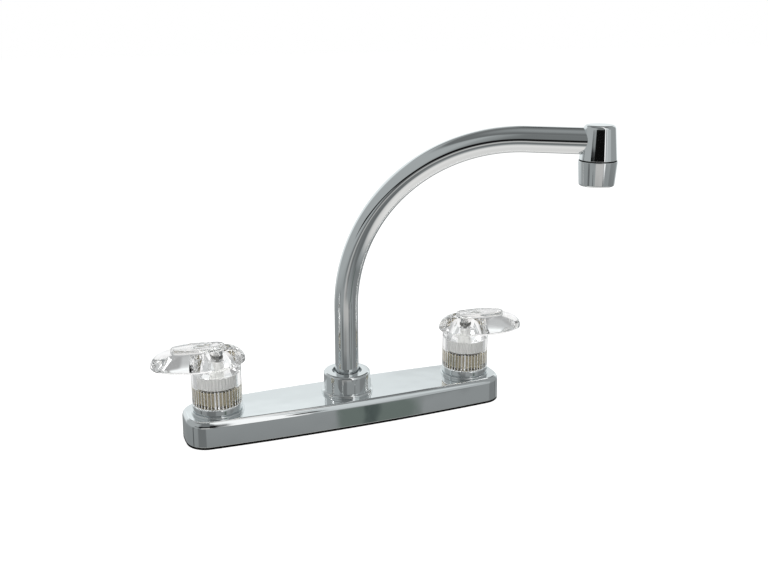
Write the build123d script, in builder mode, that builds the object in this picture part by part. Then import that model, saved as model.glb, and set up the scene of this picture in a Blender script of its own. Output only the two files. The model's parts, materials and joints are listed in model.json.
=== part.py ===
from build123d import *
import os
from math import atan, cos, degrees, radians, sin

os.makedirs("parts", exist_ok=True)

# Two handle kitchen faucet for an 8 inch sink drilling. All sizes are in mm.
# The origin is the middle of the gasket's underside, +X runs along the deck to the cold handle,
# -Y points at the user and +Z is up.

# ---- Driving dimensions ----
valve_spacing = 203.2  # between the two valve axes
spout_reach = 179.0  # spout axis to outlet axis
spout_height = 219.3  # centreline of the level part of the spout
spout_heading = -36.0  # degrees from +X, the way the spout points at rest
lever_turn = -8.0  # degrees from the deck's long axis, both levers at rest

# ---- Deck cover and gasket ----
gasket_thickness = 1.5
cover_top = 20.8
cover_wall = 1.6
cover_edge = 3.0  # rounding of the top edge
cover_draft = 1.0  # degrees
deck_half_length = 127.2
deck_end_bow = 1.5
deck_half_end = 21.2  # half width where the long sides meet the ends
deck_half_middle = 25.6
deck_corner = 16.0
gasket_inset = 0.4

# ---- Valve bodies, under the cover ----
valve_x = valve_spacing / 2
shank_radius = 10.48  # 1/2-14 NPSM
shank_bottom = -60.0
shank_chamfer = 1.2
relief_radius = 9.7  # thread relief between the locknut's thread and the supply line's
relief_bottom = -25.0
relief_top = -23.4
inlet_radius = 6.0
valve_radius = 13.2
valve_top = 25.0
valve_flange_radius = 15.5
valve_flange_top = 4.5
chamber_radius = 10.6
chamber_floor = 7.5
fit_gap = 0.1  # clearance of pieces that are joined and don't turn
turn_gap = 0.05  # clearance of pieces that turn in each other
free_gap = 0.3  # clearance of pieces that only face each other

# ---- Waterways ----
waterway_height = 12.0
waterway_radius = 4.76
waterway_bore = 3.9
boss_radius = 6.4
valve_boss_reach = 18.0  # from the valve axis towards the spout
hub_boss_reach = 20.0
socket_depth = 4.0

# ---- Headworks ----
cage_radius = 9.4
cage_bore = 8.6
cage_bottom = 8.0
thread_bottom = 18.5
hex_flats = 24.0
hex_top = 30.0
neck_radius = 7.0
neck_top = 40.0
window_height = 2.8
window_width = 8.0
window_overrun = 1.0
disc_radius = 8.5
disc_thickness = 3.0
seal_thickness = 1.5
port_radius = 4.6  # of the ports' centreline
port_width = 3.4
port_sweep = 66.0  # degrees
port_margin = 0.8  # the seal's ports are this much wider
driver_radius = 7.6
driver_thickness = 3.6
tongue_length = 10.0
tongue_width = 2.4
tongue_depth = 1.4
stem_radius = 4.0
stem_top = 50.0
spline_root = 3.55
spline_teeth = 16
spline_bottom = 41.2
stem_hole_overrun = 1.0
groove_overrun = 1.0
clip_radius = 6.0
clip_thickness = 0.8
stem_ring_heights = (27.0, 34.0)
stem_ring_wire = 0.45

# ---- Base rings ----
ring_flange_radius = 19.5
ring_flange_top = 22.6
ring_radius = 18.4
ring_top = 27.4
ring_counterbore = 14.8

# ---- Handles ----
skirt_radius = 18.2
skirt_bottom = 28.0
cup_radius = 15.0
cup_top = 41.0
flute_count = 40
flute_size = 0.85
insert_radius = 14.6
insert_top = 51.0
crown_sides = 16
crown_base = 14.0
crown_waist = 10.8
crown_waist_height = 55.0
crown_tip = 6.6
crown_top = 60.0
insert_hub_radius = 4.6
skirt_top = 58.5
skirt_shoulder = 1.2
head_inboard = 21.6
head_outboard = 46.5
head_half_width = 18.6
head_end_radius = 11.0
head_bottom = 55.4  # this and the next two are heights on the valve axis
head_widest = 59.5
head_top = 69.8
head_slope = 1.2  # degrees, down to the lever's tip
head_tuck = 9.0  # how far the underside draws in below the widest section
head_rim = 0.8  # flat rim round the cap
head_steps = (0, 30, 60, 90)  # degrees round the quarter ellipses above and below the widest section
cap_middle = 12.0  # outboard of the valve axis
cap_half_length = 19.4
cap_half_width = 7.4
cap_end_radius = 4.8
cap_sunk = 3.4
cap_proud = 2.6
cap_round = 1.2
screw_radius = 1.95
screw_bottom = 43.0
screw_head_radius = 4.4
screw_head_bottom = 62.4
screw_head_top = 65.2
screw_clearance = 0.5
screw_slot_width = 1.2
screw_slot_depth = 1.3

# ---- Under the sink ----
sink_thickness = 12.5
washer_radius = 19.0
washer_thickness = 1.5
locknut_flats = 30.0
locknut_thickness = 8.0

# ---- Spout hub, nut and foot ----
hub_bottom = 3.0
hub_body_radius = 15.0
hub_floor = 8.0
hub_shoulder_radius = 17.0
hub_shoulder_height = 3.0
hub_neck_radius = 14.0
hub_top = 30.0
hub_bore = 11.58
nut_flange_radius = 20.1
nut_flange_top = 23.4
nut_radius = 18.0
nut_top = 37.5
nut_recess_floor = 36.0
nut_recess_radius = 16.2
nut_lip_bottom = 33.9
nut_lip_radius = 11.3
nut_edge = 0.8
rib_count = 12
rib_radius = 0.9
rib_top = 32.0
thrust_top = 31.2
thrust_bore = 11.9
thrust_radius = 13.8
foot_bottom = 17.0
foot_radius = 11.5
foot_lip = 1.5
foot_flange_radius = 13.6
foot_flange_bottom = 31.5
foot_flange_top = 33.5
collar_radius = 10.1
collar_top = 36.6
collar_chamfer = 1.0
foot_groove_heights = (20.0, 25.0)
foot_groove_width = 1.9
foot_groove_radius = 10.1
foot_ring_wire = 0.71

# ---- Spout ----
tube_radius = 9.0
tube_bore = 7.8
bend_radius = 131.0
outlet_top = 230.5
outlet_top_radius = 10.5
outlet_joint = 206.4
outlet_joint_radius = 12.3
outlet_round = 2.6
outlet_bore = 8.0
outlet_bore_top = 224.0
spigot_bottom = 198.0
spigot_radius = 11.2
tube_inset = 7.0  # the tube's end to the outlet's axis
aerator_bottom = 189.4
aerator_top_radius = 13.2
aerator_bottom_radius = 12.0
aerator_round = 1.5
aerator_mouth = 9.4
aerator_ledge = 191.0
aerator_bore = 10.5
screen_top = 196.2
screen_flange_bottom = 194.8
screen_flange_radius = 11.0
screen_floor = 2.0
screen_rim = 8.6
screen_hole = 2.4
screen_pitch = 3.3
screen_count = 5
screen_reach = 7.4  # the farthest hole from the axis


def oval(half_length, half_width, end_radius, middle=0.0):
    """Four-arc oval as a sketch: two end arcs joined by two flatter side arcs."""
    reach = half_length - end_radius
    rise = half_width - end_radius
    side_radius = (reach**2 + rise**2) / (2 * rise) + end_radius
    drop = side_radius - half_width
    scale = side_radius / (side_radius - end_radius)
    touch = (reach * scale, drop * scale - drop)
    with BuildSketch() as shape:
        with BuildLine():
            for end in (1, -1):
                ThreePointArc(
                    (middle - end * touch[0], -end * touch[1]),
                    (middle, -end * half_width),
                    (middle + end * touch[0], -end * touch[1]),
                )
                ThreePointArc(
                    (middle + end * touch[0], -end * touch[1]),
                    (middle + end * half_length, 0),
                    (middle + end * touch[0], end * touch[1]),
                )
        make_face()
    return shape.sketch


def head_section(share=0.0, tuck=0.0):
    """Section of a handle's head: share goes from its widest oval to the rim of the cap's recess."""
    reach = head_outboard + head_inboard
    middle = (head_outboard - head_inboard) / 2
    return oval(
        reach / 2 * (1 - share) + (cap_half_length + head_rim) * share - tuck,
        head_half_width * (1 - share) + (cap_half_width + head_rim) * share - tuck,
        head_end_radius * (1 - share) + (cap_end_radius + head_rim) * share - tuck,
        middle * (1 - share) + cap_middle * share,
    )


def deck_outline(inset=0.0):
    """Plan of the deck: bowed long sides, gently bowed ends and round corners."""
    length = deck_half_length - inset
    half_end = deck_half_end - inset
    with BuildSketch() as shape:
        with BuildLine():
            for end in (1, -1):
                ThreePointArc(
                    (end * (deck_end_bow - length), -end * half_end),
                    (0, -end * (deck_half_middle - inset)),
                    (end * (length - deck_end_bow), -end * half_end),
                )
                ThreePointArc(
                    (end * (length - deck_end_bow), -end * half_end),
                    (end * length, 0),
                    (end * (length - deck_end_bow), end * half_end),
                )
        make_face()
        fillet(shape.vertices(), radius=deck_corner - inset)
    return shape.sketch


def kidney_ports(heading, widen=0.0):
    """Two curved ports, opposite each other, for the discs and their seal."""
    with BuildSketch() as ports:
        for start in (heading, heading + 180):
            path = CenterArc((0, 0), port_radius, start - port_sweep / 2, port_sweep, mode=Mode.PRIVATE)
            SlotArc(path, height=port_width + widen)
    return ports.sketch


def spline_outline(gap=0.0):
    """Section of the splined head of a stem."""
    with BuildSketch() as spline:
        Circle(spline_root + gap)
        with PolarLocations(spline_root + gap, spline_teeth):
            RegularPolygon(stem_radius - spline_root, 4)
    return spline.sketch


def turn(section, x=0.0, mode=Mode.ADD):
    """Revolve a half section, a list of (radius, height), about the upright axis at x."""
    with BuildSketch(Plane(origin=(x, 0, 0), x_dir=(1, 0, 0), z_dir=(0, -1, 0))) as profile:
        with BuildLine():
            Polyline(section, close=True)
        make_face()
    revolve(profile.sketch, axis=Axis((x, 0, 0), (0, 0, 1)), mode=mode)


def bore(radius, bottom, top, x=0.0):
    """Cut a round upright hole about the axis at x."""
    turn([(0, bottom), (radius, bottom), (radius, top), (0, top)], x, Mode.SUBTRACT)


def save(piece, name):
    """Label a finished piece and write it as its own STEP file."""
    piece.part.label = name
    export_step(piece.part, f"parts/{name}.step")


# ---- Deck cover and gasket ----
with BuildPart() as deck_cover:
    with BuildSketch(Plane.XY.offset(gasket_thickness)):
        add(deck_outline())
    extrude(amount=cover_top - gasket_thickness, taper=cover_draft)
    fillet(deck_cover.faces().sort_by(Axis.Z)[-1].edges(), radius=cover_edge)
    offset(amount=-cover_wall, openings=deck_cover.faces().sort_by(Axis.Z)[0])
    with Locations((-valve_x, 0, cover_top), (valve_x, 0, cover_top)):
        Hole(radius=valve_radius + fit_gap)
    with Locations((0, 0, cover_top)):
        Hole(radius=hub_neck_radius + fit_gap)
save(deck_cover, "deck_cover")

with BuildPart() as deck_gasket:
    with BuildSketch():
        add(deck_outline(gasket_inset))
        with Locations((-valve_x, 0), (valve_x, 0)):
            Circle(shank_radius + fit_gap, mode=Mode.SUBTRACT)
    extrude(amount=gasket_thickness)
save(deck_gasket, "deck_gasket")

# ---- Spout hub, its nut and the thrust washer ----
cover_inside = cover_top - cover_wall
with BuildPart() as spout_hub:
    turn(
        [
            (0, hub_bottom),
            (hub_body_radius, hub_bottom),
            (hub_body_radius, cover_inside - hub_shoulder_height),
            (hub_shoulder_radius, cover_inside - hub_shoulder_height),
            (hub_shoulder_radius, cover_inside),
            (hub_neck_radius, cover_inside),
            (hub_neck_radius, hub_top),
            (0, hub_top),
        ]
    )
    with BuildSketch(Plane.YZ.offset(-hub_boss_reach)):
        with Locations((0, waterway_height)):
            Circle(boss_radius)
    extrude(amount=2 * hub_boss_reach)
    bore(hub_bore, hub_floor, hub_top)
    with BuildSketch(Plane.YZ.offset(-hub_boss_reach)):
        with Locations((0, waterway_height)):
            Circle(waterway_bore)
    extrude(amount=2 * hub_boss_reach, mode=Mode.SUBTRACT)
    for side in (1, -1):
        with BuildSketch(Plane.YZ.offset(side * (hub_boss_reach - socket_depth))):
            with Locations((0, waterway_height)):
                Circle(waterway_radius + fit_gap)
        extrude(amount=side * socket_depth, mode=Mode.SUBTRACT)
save(spout_hub, "spout_hub")

with BuildPart() as spout_nut:
    turn(
        [
            (hub_neck_radius + fit_gap, cover_top),
            (nut_flange_radius, cover_top),
            (nut_flange_radius, nut_flange_top - nut_edge),
            (nut_flange_radius - nut_edge, nut_flange_top),
            (nut_radius, nut_flange_top),
            (nut_radius, nut_top - nut_edge),
            (nut_radius - nut_edge, nut_top),
            (nut_recess_radius, nut_top),
            (nut_recess_radius - nut_edge, nut_recess_floor),
            (nut_lip_radius, nut_recess_floor),
            (nut_lip_radius, nut_lip_bottom),
            (hub_neck_radius + fit_gap, nut_lip_bottom),
        ]
    )
    with BuildSketch(Plane.XY.offset(nut_flange_top)):
        with PolarLocations(nut_radius - rib_radius / 2, rib_count):
            Circle(rib_radius)
    extrude(amount=rib_top - nut_flange_top)
save(spout_nut, "spout_nut")

with BuildPart() as spout_thrust_washer:
    turn(
        [
            (thrust_bore, hub_top),
            (thrust_radius, hub_top),
            (thrust_radius, thrust_top),
            (thrust_bore, thrust_top),
        ]
    )
save(spout_thrust_washer, "spout_thrust_washer")

# ---- Spout: foot, seals, tube and outlet ----
with BuildPart() as spout_shank:
    turn(
        [
            (tube_bore, foot_bottom),
            (foot_radius, foot_bottom),
            (foot_radius, foot_flange_bottom),
            (foot_flange_radius, foot_flange_bottom),
            (foot_flange_radius, foot_flange_top),
            (collar_radius, foot_flange_top),
            (collar_radius, collar_top - collar_chamfer),
            (tube_radius, collar_top),
            (tube_radius, foot_bottom + foot_lip),
            (tube_bore, foot_bottom + foot_lip),
        ]
    )
    for height in foot_groove_heights:
        turn(
            [
                (foot_groove_radius, height),
                (foot_radius + groove_overrun, height),
                (foot_radius + groove_overrun, height + foot_groove_width),
                (foot_groove_radius, height + foot_groove_width),
            ],
            mode=Mode.SUBTRACT,
        )
save(spout_shank, "spout_shank")

with BuildPart() as spout_seals:
    for height in foot_groove_heights:
        with Locations((0, 0, height + foot_groove_width / 2)):
            Torus(foot_groove_radius + foot_ring_wire, foot_ring_wire)
save(spout_seals, "spout_seals")

heading = radians(spout_heading)
spout_plane = Plane(
    origin=(0, 0, 0),
    x_dir=(cos(heading), sin(heading), 0),
    z_dir=(sin(heading), -cos(heading), 0),
)
tube_start = foot_bottom + foot_lip
bend_start = spout_height - bend_radius
tube_end = spout_reach - tube_inset

with BuildPart() as spout_tube:
    with BuildLine(spout_plane) as route:
        riser = Line((0, tube_start), (0, bend_start))
        bend = TangentArc(riser @ 1, (bend_radius, spout_height), tangent=riser % 1)
        Line(bend @ 1, (tube_end, spout_height))
    with BuildSketch(Plane.XY.offset(tube_start)):
        Circle(tube_radius)
        Circle(tube_bore, mode=Mode.SUBTRACT)
    sweep(path=route.wire())
save(spout_tube, "spout_tube")

outlet_x = spout_reach * cos(heading)
outlet_y = spout_reach * sin(heading)
outlet_axis = Axis((outlet_x, outlet_y, 0), (0, 0, 1))
tube_mouth = Plane(spout_plane.from_local_coords((tube_end, spout_height)), z_dir=spout_plane.x_dir)


def turn_at_outlet(section, mode=Mode.ADD):
    """Revolve a half section, a list of (radius, height), about the outlet's axis."""
    with BuildSketch(Plane(origin=(outlet_x, outlet_y, 0), x_dir=(1, 0, 0), z_dir=(0, -1, 0))) as profile:
        with BuildLine():
            Polyline(section, close=True)
        make_face()
    revolve(profile.sketch, axis=outlet_axis, mode=mode)


with BuildPart() as spout_outlet:
    turn_at_outlet(
        [
            (0, spigot_bottom),
            (spigot_radius, spigot_bottom),
            (spigot_radius, outlet_joint),
            (outlet_joint_radius, outlet_joint),
            (outlet_top_radius, outlet_top),
            (0, outlet_top),
        ]
    )
    fillet(spout_outlet.edges().sort_by(Axis.Z)[-1], radius=outlet_round)
    turn_at_outlet(
        [
            (0, spigot_bottom),
            (outlet_bore, spigot_bottom),
            (outlet_bore, outlet_bore_top),
            (0, outlet_bore_top),
        ],
        Mode.SUBTRACT,
    )
    with BuildSketch(tube_mouth):
        Circle(tube_radius)
    extrude(amount=-socket_depth * 2, mode=Mode.SUBTRACT)
    with BuildSketch(tube_mouth):
        Circle(tube_bore)
    extrude(amount=tube_inset, mode=Mode.SUBTRACT)
save(spout_outlet, "spout_outlet")

with BuildPart() as aerator_housing:
    turn_at_outlet(
        [
            (0, aerator_bottom),
            (aerator_bottom_radius, aerator_bottom),
            (aerator_top_radius, outlet_joint),
            (0, outlet_joint),
        ]
    )
    fillet(aerator_housing.edges().sort_by(Axis.Z)[0], radius=aerator_round)
    turn_at_outlet(
        [
            (0, aerator_bottom),
            (aerator_mouth, aerator_bottom),
            (aerator_mouth, aerator_ledge),
            (aerator_bore, aerator_ledge),
            (aerator_bore, screen_flange_bottom),
            (spigot_radius + turn_gap, screen_flange_bottom),
            (spigot_radius + turn_gap, outlet_joint),
            (0, outlet_joint),
        ],
        Mode.SUBTRACT,
    )
save(aerator_housing, "aerator_housing")

with BuildPart() as aerator_washer:
    turn_at_outlet(
        [
            (outlet_bore, screen_top),
            (screen_flange_radius, screen_top),
            (screen_flange_radius, spigot_bottom),
            (outlet_bore, spigot_bottom),
        ]
    )
save(aerator_washer, "aerator_washer")

with BuildPart() as aerator_insert:
    turn_at_outlet(
        [
            (0, aerator_ledge),
            (aerator_bore - fit_gap, aerator_ledge),
            (aerator_bore - fit_gap, screen_flange_bottom),
            (screen_flange_radius, screen_flange_bottom),
            (screen_flange_radius, screen_top),
            (screen_rim, screen_top),
            (screen_rim, aerator_ledge + screen_floor),
            (0, aerator_ledge + screen_floor),
        ]
    )
    with BuildSketch(Plane((outlet_x, outlet_y, aerator_ledge))):
        with GridLocations(screen_pitch, screen_pitch, screen_count, screen_count) as grid:
            holes = [spot for spot in grid.local_locations if spot.position.length < screen_reach]
        with Locations(*holes):
            Rectangle(screen_hole, screen_hole)
    extrude(amount=screen_floor, mode=Mode.SUBTRACT)
save(aerator_insert, "aerator_insert")


def make_valve(side, x):
    """Brass body, waterway, headworks and the fastenings of one valve."""
    inward = -1 if x > 0 else 1
    into_boss = Plane(origin=(x, 0, waterway_height), z_dir=(inward, 0, 0))

    with BuildPart() as valve_body:
        turn(
            [
                (0, shank_bottom),
                (shank_radius - shank_chamfer, shank_bottom),
                (shank_radius, shank_bottom + shank_chamfer),
                (shank_radius, relief_bottom),
                (relief_radius, relief_bottom),
                (relief_radius, relief_top),
                (shank_radius, relief_top),
                (shank_radius, gasket_thickness),
                (valve_flange_radius, gasket_thickness),
                (valve_flange_radius, valve_flange_top),
                (valve_radius, valve_flange_top),
                (valve_radius, valve_top),
                (0, valve_top),
            ],
            x,
        )
        with BuildSketch(into_boss):
            Circle(boss_radius)
        extrude(amount=valve_boss_reach)
        bore(inlet_radius, shank_bottom, chamber_floor, x)
        bore(chamber_radius, chamber_floor, valve_top, x)
        with BuildSketch(into_boss):
            Circle(waterway_bore)
        extrude(amount=valve_boss_reach, mode=Mode.SUBTRACT)
        with BuildSketch(into_boss.offset(valve_boss_reach - socket_depth)):
            Circle(waterway_radius + fit_gap)
        extrude(amount=socket_depth, mode=Mode.SUBTRACT)
    save(valve_body, f"{side}_valve_body")

    with BuildPart() as waterway:
        length = valve_x - valve_boss_reach - hub_boss_reach + 2 * socket_depth
        with BuildSketch(into_boss.offset(valve_boss_reach - socket_depth)):
            Circle(waterway_radius)
            Circle(waterway_bore, mode=Mode.SUBTRACT)
        extrude(amount=length)
    save(waterway, f"{side}_waterway")

    with BuildPart() as seat_seal:
        with BuildSketch(Plane((x, 0, chamber_floor))):
            Circle(disc_radius)
            add(kidney_ports(0, widen=port_margin), mode=Mode.SUBTRACT)
        extrude(amount=seal_thickness)
    save(seat_seal, f"{side}_seat_seal")

    disc_bottom = chamber_floor + seal_thickness
    with BuildPart() as fixed_disc:
        with BuildSketch(Plane((x, 0, disc_bottom))):
            Circle(disc_radius)
            add(kidney_ports(0), mode=Mode.SUBTRACT)
        extrude(amount=disc_thickness)
    save(fixed_disc, f"{side}_fixed_disc")

    moving_bottom = disc_bottom + disc_thickness + turn_gap
    moving_top = moving_bottom + disc_thickness
    with BuildPart() as moving_disc:
        with BuildSketch(Plane((x, 0, moving_bottom))):
            Circle(disc_radius - turn_gap)
            add(kidney_ports(90), mode=Mode.SUBTRACT)
        extrude(amount=disc_thickness)
        with BuildSketch(Plane((x, 0, moving_top))):
            Rectangle(tongue_length, tongue_width)
        extrude(amount=-tongue_depth, mode=Mode.SUBTRACT)
    save(moving_disc, f"{side}_moving_disc")

    chamber_top = moving_top + driver_thickness + 2 * turn_gap
    with BuildPart() as cartridge:
        turn(
            [
                (cage_bore, cage_bottom),
                (cage_radius, cage_bottom),
                (cage_radius, thread_bottom),
                (chamber_radius - fit_gap, thread_bottom),
                (chamber_radius - fit_gap, valve_top),
                (neck_radius, valve_top),
                (neck_radius, neck_top),
                (stem_radius + turn_gap, neck_top),
                (stem_radius + turn_gap, chamber_top),
                (cage_bore, chamber_top),
            ],
            x,
        )
        with BuildSketch(Plane((x, 0, valve_top))):
            RegularPolygon(hex_flats / 2, 6, major_radius=False)
            Circle(stem_radius + turn_gap, mode=Mode.SUBTRACT)
        extrude(amount=hex_top - valve_top)
        with BuildSketch(Plane((x, 0, moving_top + turn_gap))):
            Rectangle(2 * cage_radius, window_width)
            Circle(cage_bore - window_overrun, mode=Mode.SUBTRACT)
        extrude(amount=window_height, mode=Mode.SUBTRACT)
    save(cartridge, f"{side}_cartridge")

    with BuildPart() as stem:
        turn(
            [
                (0, moving_top),
                (driver_radius, moving_top),
                (driver_radius, moving_top + driver_thickness),
                (stem_radius, moving_top + driver_thickness),
                (stem_radius, spline_bottom),
                (0, spline_bottom),
            ],
            x,
        )
        with BuildSketch(Plane((x, 0, moving_top))):
            Rectangle(tongue_length - fit_gap, tongue_width - fit_gap)
        extrude(amount=-tongue_depth + fit_gap)
        with BuildSketch(Plane((x, 0, spline_bottom))):
            add(spline_outline())
        extrude(amount=stem_top - spline_bottom)
        bore(screw_radius, screw_bottom - stem_hole_overrun, stem_top, x)
        for height in stem_ring_heights:
            groove = stem_radius - 2 * stem_ring_wire
            turn(
                [
                    (groove, height - stem_ring_wire),
                    (stem_radius + groove_overrun, height - stem_ring_wire),
                    (stem_radius + groove_overrun, height + stem_ring_wire),
                    (groove, height + stem_ring_wire),
                ],
                x,
                Mode.SUBTRACT,
            )
    save(stem, f"{side}_stem")

    with BuildPart() as stem_seals:
        with Locations(*[(x, 0, height) for height in stem_ring_heights]):
            Torus(stem_radius - stem_ring_wire, stem_ring_wire)
    save(stem_seals, f"{side}_stem_seals")

    with BuildPart() as stem_clip:
        with BuildSketch(Plane((x, 0, neck_top + free_gap))):
            Circle(clip_radius)
            Circle(stem_radius, mode=Mode.SUBTRACT)
            with Locations((0, clip_radius)):
                Rectangle(stem_radius, 2 * clip_radius, mode=Mode.SUBTRACT)
        extrude(amount=clip_thickness)
    save(stem_clip, f"{side}_stem_clip")

    with BuildPart() as base_ring:
        turn(
            [
                (valve_radius + fit_gap, cover_top),
                (ring_flange_radius, cover_top),
                (ring_flange_radius, ring_flange_top - nut_edge),
                (ring_flange_radius - nut_edge, ring_flange_top),
                (ring_radius, ring_flange_top),
                (ring_radius, ring_top - nut_edge),
                (ring_radius - nut_edge, ring_top),
                (ring_counterbore, ring_top),
                (ring_counterbore, valve_top),
                (valve_radius + fit_gap, valve_top),
            ],
            x,
        )
    save(base_ring, f"{side}_base_ring")

    with BuildPart() as shank_washer:
        with BuildSketch(Plane((x, 0, -sink_thickness))):
            Circle(washer_radius)
            Circle(shank_radius + fit_gap, mode=Mode.SUBTRACT)
        extrude(amount=-washer_thickness)
    save(shank_washer, f"{side}_shank_washer")

    with BuildPart() as shank_nut:
        with BuildSketch(Plane((x, 0, -sink_thickness - washer_thickness))):
            RegularPolygon(locknut_flats / 2, 6, major_radius=False)
            Circle(shank_radius + turn_gap, mode=Mode.SUBTRACT)
        extrude(amount=-locknut_thickness)
    save(shank_nut, f"{side}_shank_nut")


def make_handle(side, x):
    """Clear handle with its insert, screw and cap. Local +X points to the lever's tip."""
    outward = 1 if x > 0 else -1
    lever = radians(lever_turn)
    lever_dir = Vector(outward * cos(lever), outward * sin(lever), 0)
    slope = radians(head_slope)
    base = Plane(origin=(x, 0, 0), x_dir=lever_dir, z_dir=(0, 0, 1))
    head_plane = Plane(
        origin=(x, 0, head_top),
        x_dir=lever_dir * cos(slope) - Vector(0, 0, sin(slope)),
        z_dir=lever_dir * sin(slope) + Vector(0, 0, cos(slope)),
    )
    cap_oval = oval(cap_half_length, cap_half_width, cap_end_radius, cap_middle)
    recess_oval = oval(
        cap_half_length + fit_gap, cap_half_width + fit_gap, cap_end_radius + fit_gap, cap_middle
    )
    crown_tiers = (
        (crown_base, insert_top, crown_waist, crown_waist_height, 0),
        (crown_waist, crown_waist_height, crown_tip, crown_top, 180 / crown_sides),
    )

    with BuildPart() as handle:
        for step in reversed(head_steps[1:]):
            height = head_widest - (head_widest - head_bottom) * sin(radians(step))
            with BuildSketch(head_plane.offset(height - head_top)):
                add(head_section(tuck=head_tuck * (1 - cos(radians(step)))))
        for step in head_steps:
            height = head_widest + (head_top - head_widest) * sin(radians(step))
            with BuildSketch(head_plane.offset(height - head_top)):
                add(head_section(share=1 - cos(radians(step))))
        loft()
        turn(
            [
                (0, skirt_bottom),
                (skirt_radius - nut_edge, skirt_bottom),
                (skirt_radius, skirt_bottom + nut_edge),
                (skirt_radius, skirt_top - skirt_shoulder),
                (skirt_radius - skirt_shoulder, skirt_top),
                (0, skirt_top),
            ],
            x,
        )
        with BuildSketch(base.offset(skirt_bottom)):
            Circle(cup_radius)
            with PolarLocations(cup_radius, flute_count):
                RegularPolygon(flute_size, 4)
        extrude(amount=cup_top - skirt_bottom, mode=Mode.SUBTRACT)
        bore(insert_radius, cup_top, insert_top, x)
        for wide, low, narrow, high, turned in crown_tiers:
            with BuildSketch(base.offset(low)):
                RegularPolygon(wide, crown_sides, rotation=turned)
            taper = degrees(atan((wide - narrow) / (high - low)))
            extrude(amount=high - low, taper=taper, mode=Mode.SUBTRACT)
        with BuildSketch(head_plane.offset(-cap_sunk)):
            add(recess_oval)
        extrude(amount=2 * cap_sunk, mode=Mode.SUBTRACT)
        bore(screw_radius + screw_clearance, crown_top, head_top, x)
        bore(screw_head_radius + screw_clearance, screw_head_bottom, head_top, x)
    save(handle, f"{side}_handle")

    with BuildPart() as handle_insert:
        turn(
            [
                (0, cup_top + free_gap),
                (insert_radius - fit_gap, cup_top + free_gap),
                (insert_radius - fit_gap, insert_top),
                (insert_hub_radius, insert_top),
                (insert_hub_radius, crown_top),
                (0, crown_top),
            ],
            x,
        )
        with BuildSketch(Plane((x, 0, cup_top + free_gap))):
            add(spline_outline(turn_gap))
        extrude(amount=stem_top - cup_top, mode=Mode.SUBTRACT)
        bore(screw_radius + free_gap, stem_top, crown_top, x)
    save(handle_insert, f"{side}_handle_insert")

    with BuildPart() as handle_screw:
        turn(
            [
                (0, screw_bottom),
                (screw_radius - turn_gap, screw_bottom),
                (screw_radius - turn_gap, screw_head_bottom),
                (screw_head_radius, screw_head_bottom),
                (screw_head_radius, screw_head_top - nut_edge),
                (screw_head_radius - nut_edge, screw_head_top),
                (0, screw_head_top),
            ],
            x,
        )
        with BuildSketch(base.offset(screw_head_top)):
            Rectangle(2 * screw_head_radius, screw_slot_width)
        extrude(amount=-screw_slot_depth, mode=Mode.SUBTRACT)
    save(handle_screw, f"{side}_handle_screw")

    with BuildPart() as handle_cap:
        with BuildSketch(head_plane.offset(-cap_sunk)):
            add(cap_oval)
        extrude(amount=cap_sunk + cap_proud)
        fillet(handle_cap.faces().sort_by(Axis.Z)[-1].edges(), radius=cap_round)
    save(handle_cap, f"{side}_handle_cap")


for side, x in (("hot", -valve_x), ("cold", valve_x)):
    make_valve(side, x)
    make_handle(side, x)
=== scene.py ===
"""Two handle kitchen faucet: visible pieces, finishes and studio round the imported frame.

Sizes are in millimetres and become metres where a mesh is made.
"""

from __future__ import annotations

import json
import logging
from collections.abc import Callable, Sequence
from dataclasses import dataclass
from enum import Enum
from math import asin, atan2, cos, pi, radians, sin, sqrt, tan

import bmesh
import bpy
from mathutils import Matrix, Vector

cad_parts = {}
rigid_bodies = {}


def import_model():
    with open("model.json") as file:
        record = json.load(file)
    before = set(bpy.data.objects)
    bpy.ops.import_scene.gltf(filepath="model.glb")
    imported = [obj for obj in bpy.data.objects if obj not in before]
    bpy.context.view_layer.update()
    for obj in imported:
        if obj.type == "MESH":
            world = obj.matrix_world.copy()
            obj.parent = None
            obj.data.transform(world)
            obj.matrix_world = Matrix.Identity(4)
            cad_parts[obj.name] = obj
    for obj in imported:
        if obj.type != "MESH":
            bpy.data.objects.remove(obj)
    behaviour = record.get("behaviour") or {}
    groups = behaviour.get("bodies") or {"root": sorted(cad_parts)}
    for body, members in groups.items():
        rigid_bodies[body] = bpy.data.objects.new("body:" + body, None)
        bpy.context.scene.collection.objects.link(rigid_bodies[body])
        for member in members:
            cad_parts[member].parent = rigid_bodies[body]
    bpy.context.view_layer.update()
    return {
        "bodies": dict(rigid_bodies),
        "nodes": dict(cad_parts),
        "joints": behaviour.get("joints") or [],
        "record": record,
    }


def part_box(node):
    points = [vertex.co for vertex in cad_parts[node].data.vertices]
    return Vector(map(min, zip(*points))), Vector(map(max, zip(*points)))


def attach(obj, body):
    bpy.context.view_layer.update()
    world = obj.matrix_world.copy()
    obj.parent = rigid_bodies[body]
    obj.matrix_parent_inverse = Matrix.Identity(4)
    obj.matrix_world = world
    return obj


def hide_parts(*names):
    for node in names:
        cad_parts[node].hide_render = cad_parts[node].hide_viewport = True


LOG = logging.getLogger("faucet")
MM = 0.001
MERGE = 1e-6  # metres, under which two points of a mesh are one
FACTOR, COLOUR_A, COLOUR_B, MIXED_COLOUR = 0, 6, 7, 2  # a colour Mix node's sockets
FLAT_ANGLE = 28.0  # degrees, past which two faces meet at a hard edge
Ring = list[Vector]
Colour = tuple[float, float, float, float]
Fit = Callable[..., None]  # Faucet.fit, which finishes a new piece and sets it on its body
Tree, Node = bpy.types.NodeTree, bpy.types.Node
Socket, Piece = bpy.types.NodeSocket, bpy.types.Object


# ---------------------------------------------------------------- modelling kit


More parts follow.
